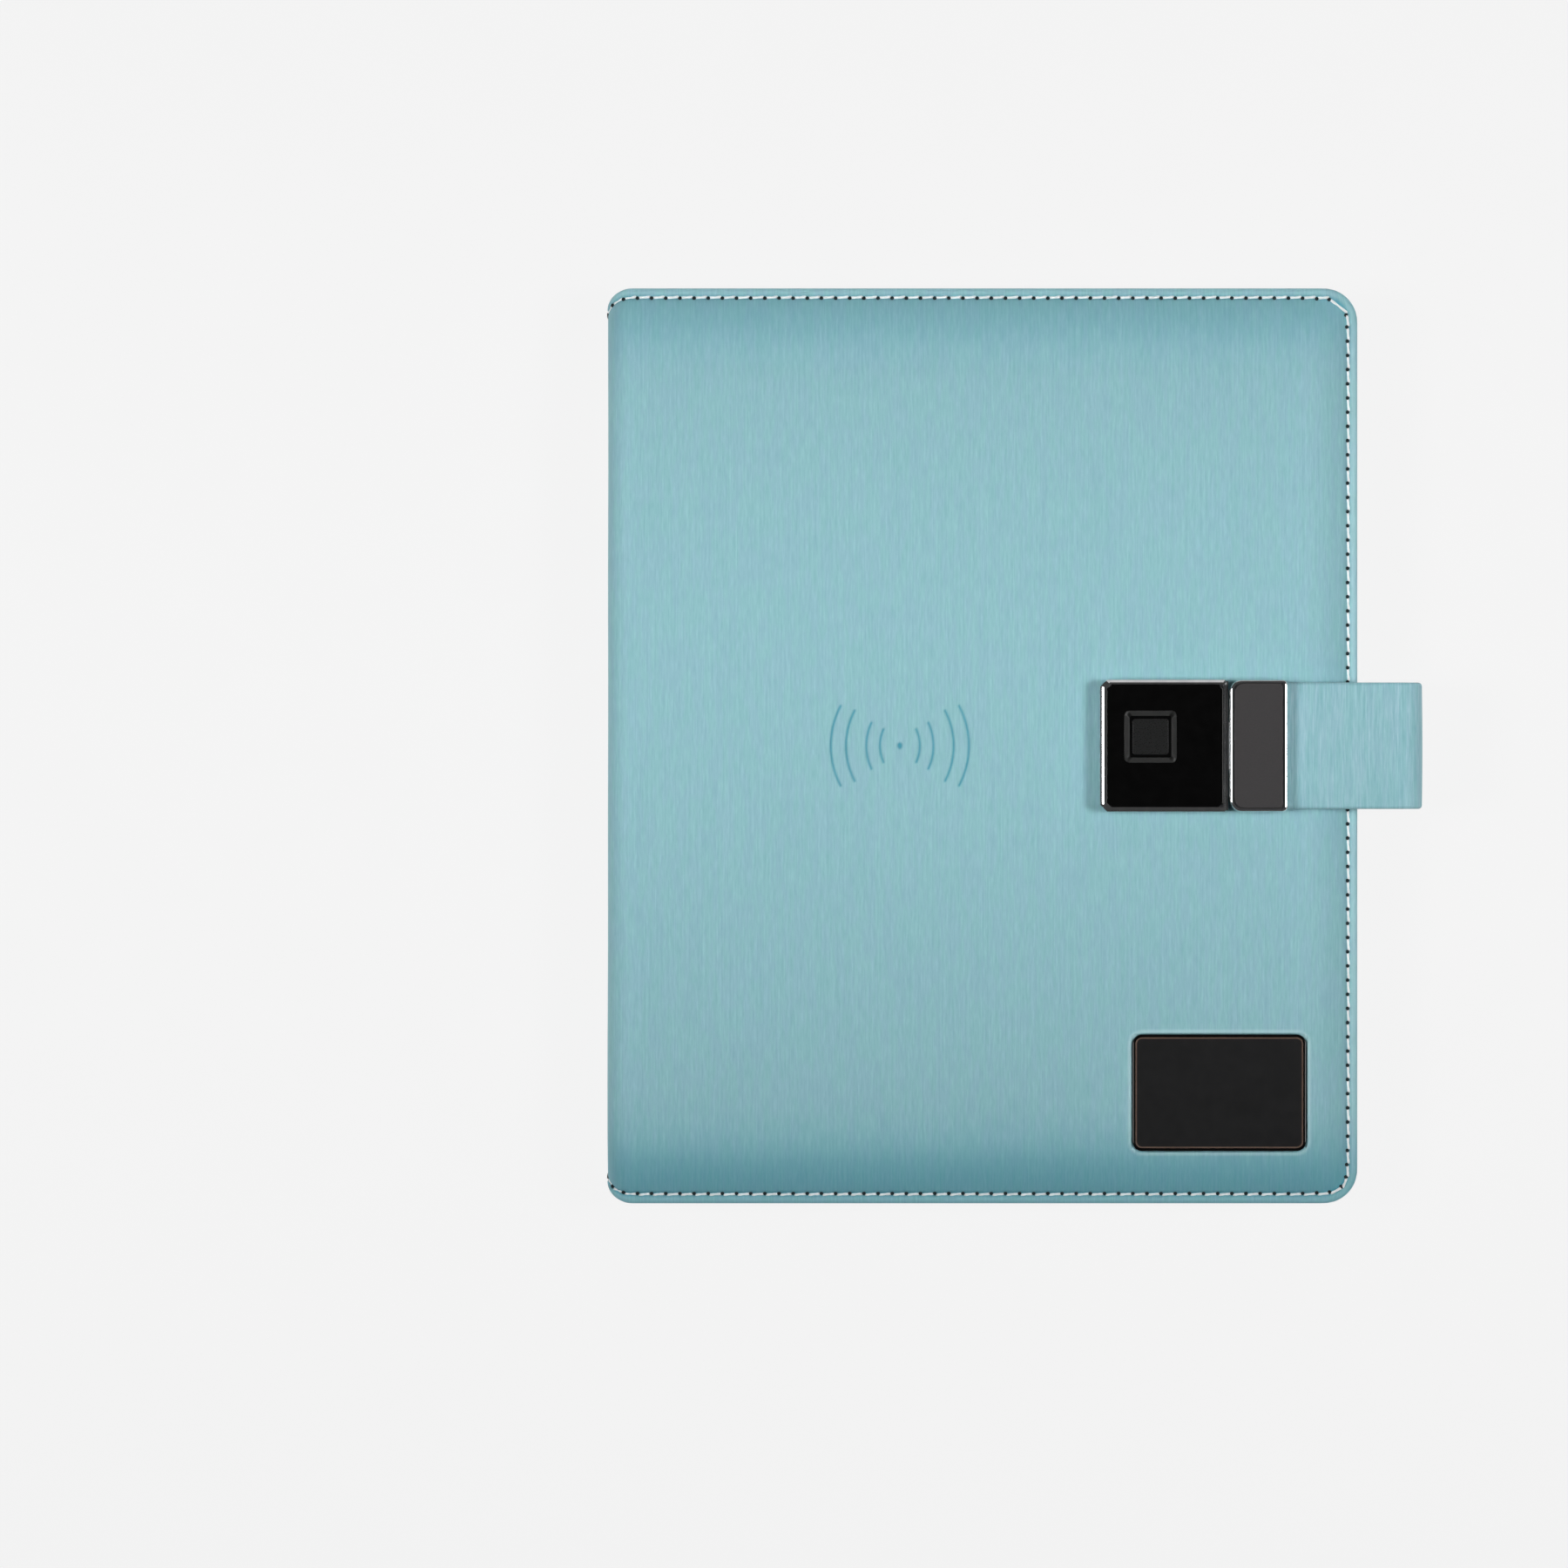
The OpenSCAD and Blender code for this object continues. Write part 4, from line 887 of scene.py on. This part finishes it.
def lining_sheet(name, cover):
    """The lining, glued over the wrapped margin, which bends into the gutter beside the spine."""
    far = cover.u_cover + SPINE_T + LINING_ROLL - ROLL_R
    us = lines((0, 0), (cover.u_roll, 1.6 * MM), (far, 0.5 * MM), (far + 3 * MM, 1 * MM),
               (cover.u_fore - CORNER_R, 6 * MM), (cover.u_fore - LINING_IN, 0.8 * MM))
    vs = lines((-Y_EDGE + LINING_IN, 0), (-Y_EDGE + CORNER_R, 0.8 * MM), (Y_EDGE - CORNER_R, 6 * MM),
               (Y_EDGE - LINING_IN, 0.8 * MM))
    obj, i, j = lattice(name, len(us), len(vs))
    u = us[i]
    v = vs[j]
    points, normals = cover.inside(u, v)
    edge = cover.plan(u, v)[2] - LINING_IN
    seam = 0.2 * MM * bell(edge + LINING_IN, STITCH_IN, 0.5 * MM)
    rim = 0.25 * MM * np.clip(1 - edge / (0.5 * MM), 0, 1) ** 2
    put(obj, points - normals * (seam + rim)[:, None])
    store(obj, "grain", np.stack([u, v, np.full_like(u, 0.7 + 0.1 * cover.up)], -1))
    if cover.up > 0:
        flip(obj)
    modify(obj, "SOLIDIFY", thickness=0.5 * MM, offset=-1)
    obj.data.materials.append(LINING)
    return finish_mesh(obj, 50)


for side, cover, stands_for in (
        ("front", FRONT, ("front_lining", "spine_lining")),
        ("back", BACK, ("back_lining",))):
    lining = lining_sheet(side + "_lining_sheet", cover)
    settle(lining, "lining", None, *stands_for)
    bend_cover(lining, cover)


def padding_sheet():
    """Foam under the front leather, a little lower all over."""
    inset = 2.5 * MM
    under = 2.2 * MM
    us = lines((FRONT.u_cover + 1.5 * MM, 0), (FRONT.u_fore - inset, 4 * MM))
    vs = lines((-Y_EDGE + inset, 0), (Y_EDGE - inset, 4 * MM))
    obj, i, j = lattice("padding_foam", len(us), len(vs))
    points, normals, _ = FRONT.outside(us[i], vs[j])
    put(obj, points - normals * under)
    modify(obj, "SOLIDIFY", thickness=1.2 * MM, offset=-1)
    obj.data.materials.append(FOAM)
    return finish_mesh(obj)


padding = padding_sheet()
settle(padding, "foam", "front_cover", "front_foam")

spine_low, spine_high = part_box("spine_board")
spine_panel = block("spine_stiffener", (spine_low.x + 0.1 * MM, spine_low.y + 4 * MM, spine_low.z),
                    (spine_high.x, spine_high.y - 4 * MM, spine_high.z), GREYBOARD, corner=0.4 * MM)
settle(spine_panel, "board", "spine", "spine_board")


# The seam

def seam_path(cover, inside):
    """Needle holes along the three sewn edges and their normals: along one end, across the corner in one
    longer stitch, down the fore edge, round the other corner and back, in one even pitch."""
    y = Y_EDGE - STITCH_IN
    fore = cover.u_fore - STITCH_IN
    cut_u = cover.u_fore - 6.8 * MM
    cut_v = Y_EDGE - 6.3 * MM
    lower = (fore - 0.9 * MM, 0.95 * MM - y)
    corners = [(0.4 * MM, y), (cut_u, y), (fore, cut_v), (fore, -cut_v), lower, (cut_u, -y), (0.4 * MM, -y)]
    holes = [corners[0]]
    for a, b in zip(corners, corners[1:]):
        count = max(1, round(math.dist(a, b) / STITCH_PITCH - 0.3))
        for k in range(1, count + 1):
            holes.append((a[0] + (b[0] - a[0]) * k / count, a[1] + (b[1] - a[1]) * k / count))
    u, v = np.array(holes).T

    def face(du, dv):
        if inside:
            points, normals = cover.inside(u + du, v + dv)
            return points - normals * 0.12 * MM
        points, normals, edge = cover.outside(u + du, v + dv)
        return points + normals * edge_shape(edge)[:, None]

    reach = 0.8 * MM
    normals = np.cross(face(reach, 0) - face(-reach, 0), face(0, reach) - face(0, -reach))
    normals *= (-1 if inside else 1) * cover.up / np.linalg.norm(normals, axis=1)[:, None]
    return face(0, 0), normals


# A stitch along X, as places along it: how far along, how high, how thick; its middle sits lower
STITCH = [(-1.7, -0.3, 0.16), (-1.4, 0.06, 0.35), (-0.8, 0.03, 0.37), (0, -0.06, 0.31),
          (0.8, 0.03, 0.37), (1.4, 0.06, 0.35), (1.7, -0.3, 0.16)]


def stitch_master():
    """One stitch along X: a short thick thread that dives at both ends."""
    sides = 8
    obj, i, j = lattice("stitch", len(STITCH), sides + 1)
    along, height, thick = (np.array(STITCH) * MM)[i].T
    angle = j / sides * 2 * math.pi
    put(obj, np.stack([along, thick * np.cos(angle), height + thick * np.sin(angle)], -1))
    close_ends(obj)
    obj.data.materials.append(THREAD)
    return finish_mesh(obj, 80)


HOLE_R = 0.48 * MM
HOLE_DEEP = 0.9 * MM
HOLE_LIP = 0.04 * MM
HOLE_DIMPLE = 0.14 * MM


def hole_master():
    """One needle hole: a dimple with a pressed lip, round which the thread pulls up; its dark colour is
    painted shade.
    """
    fresh()
    bpy.ops.mesh.primitive_cylinder_add(vertices=12, radius=HOLE_R, depth=HOLE_DEEP)
    obj = bpy.context.object
    obj.data.materials.append(NEEDLE_HOLE)
    pick(obj, "FACE", facing_up(HOLE_DEEP / 2))
    bpy.ops.mesh.inset(thickness=HOLE_LIP, depth=0)
    bpy.ops.mesh.extrude_region_move(TRANSFORM_OT_translate={"value": (0, 0, -HOLE_DIMPLE)})
    return finish_mesh(obj)


# A stitch lies at a slant over the leather; the holes sit a little inside the line of thread
SLANT = math.radians(5)
STITCH_UP = 0.16 * MM
HOLE_UP = 0.2 * MM
HOLE_IN = 0.36 * MM


def seam_place(centre, normal, along, move):
    """The matrix that stands a piece on the leather, its X along the seam, moved within its own axes."""
    up = Vector(normal).normalized()
    x = Vector(along)
    x = (x - up * x.dot(up)).normalized()
    turned = Matrix((x, up.cross(x), up)).transposed().to_4x4()
    return Matrix.Translation(Vector(centre)) @ turned @ Matrix.Translation(move)


def seam_matrices(points, normals, out):
    """Places for the stitches, each as long as its gap, and for the holes."""
    stitches, holes = [], []
    for k, point in enumerate(points):
        ahead = points[min(k + 1, len(points) - 1)] - points[max(k - 1, 0)]
        holes.append(seam_place(point, normals[k], ahead, (0, -out * HOLE_IN, HOLE_UP)))
    for a, b, normal in zip(points, points[1:], normals[1:] + normals[:-1]):
        fit = Matrix.Diagonal((np.linalg.norm(b - a) / STITCH_PITCH, 1, 1, 1))
        place = seam_place((a + b) / 2, normal, b - a, (0, 0, STITCH_UP))
        stitches.append(place @ Matrix.Rotation(SLANT, 4, "Z") @ fit)
    return stitches, holes


for cover, side in ((FRONT, "front"), (BACK, "back")):
    for inside in (False, True):
        points, normals = seam_path(cover, inside)
        stitches, holes = seam_matrices(points, normals, -cover.up if inside else cover.up)
        where = side + ("_inner_" if inside else "_outer_")
        for master, places, kind in (
                (stitch_master(), stitches, "stitches"),
                (hole_master(), holes, "needle_holes")):
            row = copies(master, places, where + kind)
            settle(row, "leather")
            bend_cover(row, cover)


# Fingerprint lock

def reshape(obj, low, high):
    """Moves the selected vertices in plan so that they fill the box between two corners."""
    mode("OBJECT")
    chosen = [v for v in obj.data.vertices if v.select]
    a = [min(v.co[k] for v in chosen) for k in (0, 1)]
    b = [max(v.co[k] for v in chosen) for k in (0, 1)]
    for v in chosen:
        for k in (0, 1):
            v.co[k] = low[k] + (v.co[k] - a[k]) / (b[k] - a[k]) * (high[k] - low[k])
    mode("EDIT")


def recess(obj, low, high, floor, material=None):
    """Opens a recess in the top of obj that fits the box between two corners, with its floor at a height."""
    top = max(v.co.z for v in obj.data.vertices)
    pick(obj, "FACE", facing_up(top))
    bpy.ops.mesh.inset(thickness=0.4 * MM, depth=0)
    reshape(obj, low, high)
    bpy.ops.mesh.extrude_region_move(TRANSFORM_OT_translate={"value": (0, 0, floor - top)})
    if material:
        paint(obj, material)
    return finish_mesh(obj, flat=True)


bolt_low, bolt_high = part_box("lock_bolt")
BOLT_Z = (bolt_low.z + bolt_high.z) / 2
BOLT_HOLE_R = 1.5 * MM


def bore(obj, start, end):
    """Cuts the round opening that the bolt of the lock passes through, between two places along it."""
    fresh()
    place = ((start + end) / 2, 0, BOLT_Z)
    bpy.ops.mesh.primitive_cylinder_add(vertices=24, radius=BOLT_HOLE_R, depth=end - start,
                                        location=place, rotation=(0, math.pi / 2, 0))
    cutter = bpy.context.object
    modify(obj, "BOOLEAN", operation="DIFFERENCE", solver="EXACT", object=cutter)
    bpy.data.objects.remove(cutter)
    return finish_mesh(obj, flat=True)


# The case reaches the clasp head. Its corners on the left are cut, the ones at the clasp nearly square, and
# its rim slopes outwards, wide and shallow on the left, where it catches one bright line
case_low, case_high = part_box("lock_housing")
panel_low, panel_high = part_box("lock_panel")
GAP = 0.08 * MM
CASE_END = case_high.x + 1.1 * MM
CASE_MID = (case_low.x + case_high.x) / 2
PANEL_END = case_high.x + 0.2 * MM
LEFT_CUT = 1.8 * MM
END_CUT = 0.5 * MM
RIM_DROP = 0.2 * MM
END_DROP = 0.34 * MM
RIM_SKIRT = 0.3 * MM
RIM_LEFT = 0.95 * MM
RIM_SIDE = 0.62 * MM
RIM_CLASP = 0.75 * MM
lock_case = block("lock_case", case_low, (CASE_END, case_high.y, case_high.z), CHROME)
bevel(lock_case, upright(high=CASE_MID), LEFT_CUT)
bevel(lock_case, upright(low=CASE_MID), END_CUT)
pick(lock_case, "FACE", facing_up(case_high.z))
bpy.ops.mesh.inset(thickness=0.3 * MM, depth=0)
reshape(lock_case, (case_low.x + RIM_LEFT, case_low.y + RIM_SIDE),
        (CASE_END - RIM_CLASP, case_high.y - RIM_SIDE))
mode("OBJECT")
for vertex in lock_case.data.vertices:
    if vertex.co.z > case_high.z - GAP and not vertex.select:
        vertex.co.z -= RIM_DROP if vertex.co.x < case_low.x + GAP else END_DROP
bevel(lock_case, lambda m, d: m.z > case_high.z - RIM_DROP - GAP and m.x < case_low.x + GAP, RIM_SKIRT)
recess(lock_case, (panel_low.x - GAP, panel_low.y - GAP), (PANEL_END + GAP, panel_high.y + GAP),
       panel_low.z, BLACK_ABS)
bore(lock_case, bolt_high.x - MM, CASE_END + MM)
settle(lock_case, "chrome", "front_cover", "lock_housing")

# Black end plate of the case, where the bolt comes out: it fills the slot before the clasp head
PLATE_IN = 0.3 * MM
end_low = (CASE_END - 0.2 * MM, case_low.y + PLATE_IN, case_low.z + 0.2 * MM)
end_high = (CASE_END + 0.45 * MM, case_high.y - PLATE_IN, case_high.z - 0.7 * MM)
end_plate = block("lock_end_plate", end_low, end_high, BLACK_ABS, corner=0.15 * MM, top=0.15 * MM)
bore(end_plate, CASE_END - MM, CASE_END + MM)
settle(end_plate, "black_plastic", "front_cover")

panel = block("lock_face", panel_low, (PANEL_END, panel_high.y, panel_high.z), GLOSS_BLACK,
              corner=1.1 * MM, steps=1, top=0.14 * MM)
settle(panel, "gloss_black", "front_cover", "lock_panel")

# The sensor: a rim round a groove, and the glass in it
rim_low, rim_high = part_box("sensor_frame")
pad_low, pad_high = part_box("sensor_pad")
RIM_TOP = panel_high.z + 0.16 * MM
sensor_rim = block("sensor_rim", (rim_low.x, rim_low.y, panel_high.z - 0.3 * MM),
                   (rim_high.x, rim_high.y, RIM_TOP), SENSOR_RIM, corner=1.3 * MM, top=0.12 * MM)
groove = Vector((0.75 * MM, 0.75 * MM, 0))
recess(sensor_rim, pad_low - groove, pad_high + groove, RIM_TOP - 0.12 * MM, GLOSS_BLACK)
settle(sensor_rim, "sensor_bezel", "front_cover", "sensor_frame")
sensor_glass = block("sensor_glass", (pad_low.x, pad_low.y, panel_high.z - 0.2 * MM),
                     (pad_high.x, pad_high.y, RIM_TOP - 0.02 * MM), SENSOR_GLASS,
                     corner=0.7 * MM, top=0.1 * MM)
settle(sensor_glass, "sensor_glass", "front_cover", "sensor_pad")

# Clasp head on the strap: its flank towards the lock leans in, and its corners there are the rounder ones
head_low, head_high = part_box("head_shell")
plate_low, plate_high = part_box("head_plate")
FLANK = 0.2 * MM
HEAD_X = head_low.x + 1.2 * MM
HEAD_END = head_high.x - 0.35 * MM
HEAD_MID = (head_low.x + head_high.x) / 2
head = block("clasp_head", (HEAD_X, head_low.y, head_low.z), (HEAD_END, head_high.y, head_high.z), CHROME)
bevel(head, upright(high=HEAD_MID), 3.0 * MM, 8)
bevel(head, upright(low=HEAD_MID), 1.4 * MM, 6)
pick(head, "FACE", facing_up(head_high.z))
reshape(head, (HEAD_X + FLANK, head_low.y), (HEAD_END, head_high.y))
bevel(head, level(head_high.z), 0.5 * MM, 5)
cap_top = max(plate_high.z, head_high.z - 0.1 * MM)
cap_low = Vector((plate_low.x, plate_low.y + 0.1 * MM, plate_low.z))
cap_high = Vector((plate_high.x - 0.7 * MM, plate_high.y - 0.1 * MM, cap_top))
groove = Vector((0.15 * MM, 0.15 * MM, 0))
recess(head, cap_low - groove, cap_high + groove, plate_low.z, BLACK_ABS)
bore(head, HEAD_X - MM, HEAD_X + 1.5 * MM)
settle(head, "chrome", "strap_flap", "head_shell")

cap = block("clasp_cap", cap_low, cap_high, CAP_GREY)
bevel(cap, upright(high=HEAD_MID), 2.6 * MM, 8)
bevel(cap, upright(low=HEAD_MID), 1.2 * MM, 6)
bevel(cap, level(cap_top), 0.22 * MM, 3)
settle(finish_mesh(cap, flat=True), "grey_cap", "strap_flap", "head_plate")

# Display window

window = block("display_window", window_low, window_high, GLOSS_BLACK,
               corner=WINDOW_R, steps=8, top=0.25 * MM)
pick(window, "FACE", facing_up(window_high.z))
bpy.ops.mesh.inset(thickness=0.5 * MM, depth=0)
bpy.ops.mesh.inset(thickness=0.36 * MM, depth=-0.03 * MM)
# A bright line runs round the pane; within it the pane is a matter black
for material, low, high in ((WINDOW_LINE, -1.1 * MM, -0.76 * MM), (WINDOW_BLACK, -math.inf, -1.12 * MM)):
    pick(window, "FACE", lambda m, n: n.z > 0.9 and low < window_distance(m.x, m.y) < high)
    paint(window, material)
settle(finish_mesh(window, flat=True), "gloss_black", "front_cover", "window_plate")

# Nodes that keep their own solids

FINISHES = {
    GREYBOARD: ("front_board", "back_board"),
    BLACK_ABS: ("power_tray", "port_block", "lock_base"),
    GREY_ABS: ("power_button",),
    FOIL: ("battery_cells", "lock_cell"),
    CIRCUIT: ("charge_board", "display_board", "lock_board"),
    COPPER: ("charge_coil",),
    FERRITE: ("ferrite_sheet",),
    STEEL: ("lock_motor", "lead_screw", "lock_bolt", "lock_screws", "head_striker", "head_clamp",
            "head_rivets", "rail_rivets", "lever_pins", "usb_socket"),
    NICKEL: ("ring_rail", "rings_right", "rings_left", "lever_top", "lever_bottom"),
    PAPER: ("paper_pad",),
    POCKETS: ("card_pockets",),
}
for material, names in FINISHES.items():
    for name in names:
        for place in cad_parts[name].material_slots:
            place.material = material


# Studio

# A back-lit sheet of opal acrylic: it glows evenly, so that hardly any shadow shows on it
floor_material = flecked("opal_acrylic_light_table", ("#2c2c2c", "#303030"), 30, rough=(0.9, 1.0),
                         bump=0, Emission_Color=colour("#f1f1f1"), Emission_Strength=1.0,
                         Specular_IOR_Level=0.0)
fresh()
bpy.ops.mesh.primitive_plane_add(size=6, location=(0, 0, cad_box[0].z - 0.2 * MM))
floor = bpy.context.object
floor.name = "floor"
floor.data.materials.append(floor_material)

world = bpy.data.worlds.new("soft_studio")
world.use_nodes = True
world.node_tree.nodes["Background"].inputs["Color"].default_value = (1, 1, 1, 1)
world.node_tree.nodes["Background"].inputs["Strength"].default_value = 0.06
bpy.context.scene.world = world


def softbox(name, place, aim, size, power, spread=180):
    """A soft light that looks at a point; a spread under 180 degrees is a honeycomb in front of it."""
    light = bpy.data.lights.new(name, "AREA")
    light.shape = "RECTANGLE"
    light.size, light.size_y = size
    light.spread = math.radians(spread)
    light.energy = power
    obj = bpy.data.objects.new(name, light)
    bpy.context.scene.collection.objects.link(obj)
    obj.location = place
    obj.rotation_euler = (Vector(aim) - Vector(place)).to_track_quat("-Z", "Y").to_euler()


# Strip lights with honeycombs stand left and right; their light falls off towards the ends of the spine
LIGHT_Y = 31 * MM
for name, x in (("left_strip", -0.7), ("right_strip", 0.7)):
    softbox(name, (x, LIGHT_Y, 1.2), (0.01, LIGHT_Y, Z_TOP), (0.4, 0.9), 0.65, 22)
# A weak large box beyond the top edge
softbox("far_softbox", (0, 1.3, 0.8), (0, 0, 0), (1.2, 0.6), 1.3)

# The photograph looks straight down; its frame is 402 mm wide at the level of the cover
CAMERA_HEIGHT = 4.0
FRAME_WIDTH = 402 * MM
FRAME_MID = (-51.0 * MM, -9.8 * MM)
SENSOR_WIDTH = 36
camera_data = bpy.data.cameras.new("camera")
camera_data.sensor_width = SENSOR_WIDTH
camera_data.lens = SENSOR_WIDTH * CAMERA_HEIGHT / FRAME_WIDTH
camera = bpy.data.objects.new("camera", camera_data)
bpy.context.scene.collection.objects.link(camera)
camera.location = (*FRAME_MID, Z_TOP + CAMERA_HEIGHT)
bpy.context.scene.camera = camera
bpy.context.scene.view_settings.view_transform = "Standard"
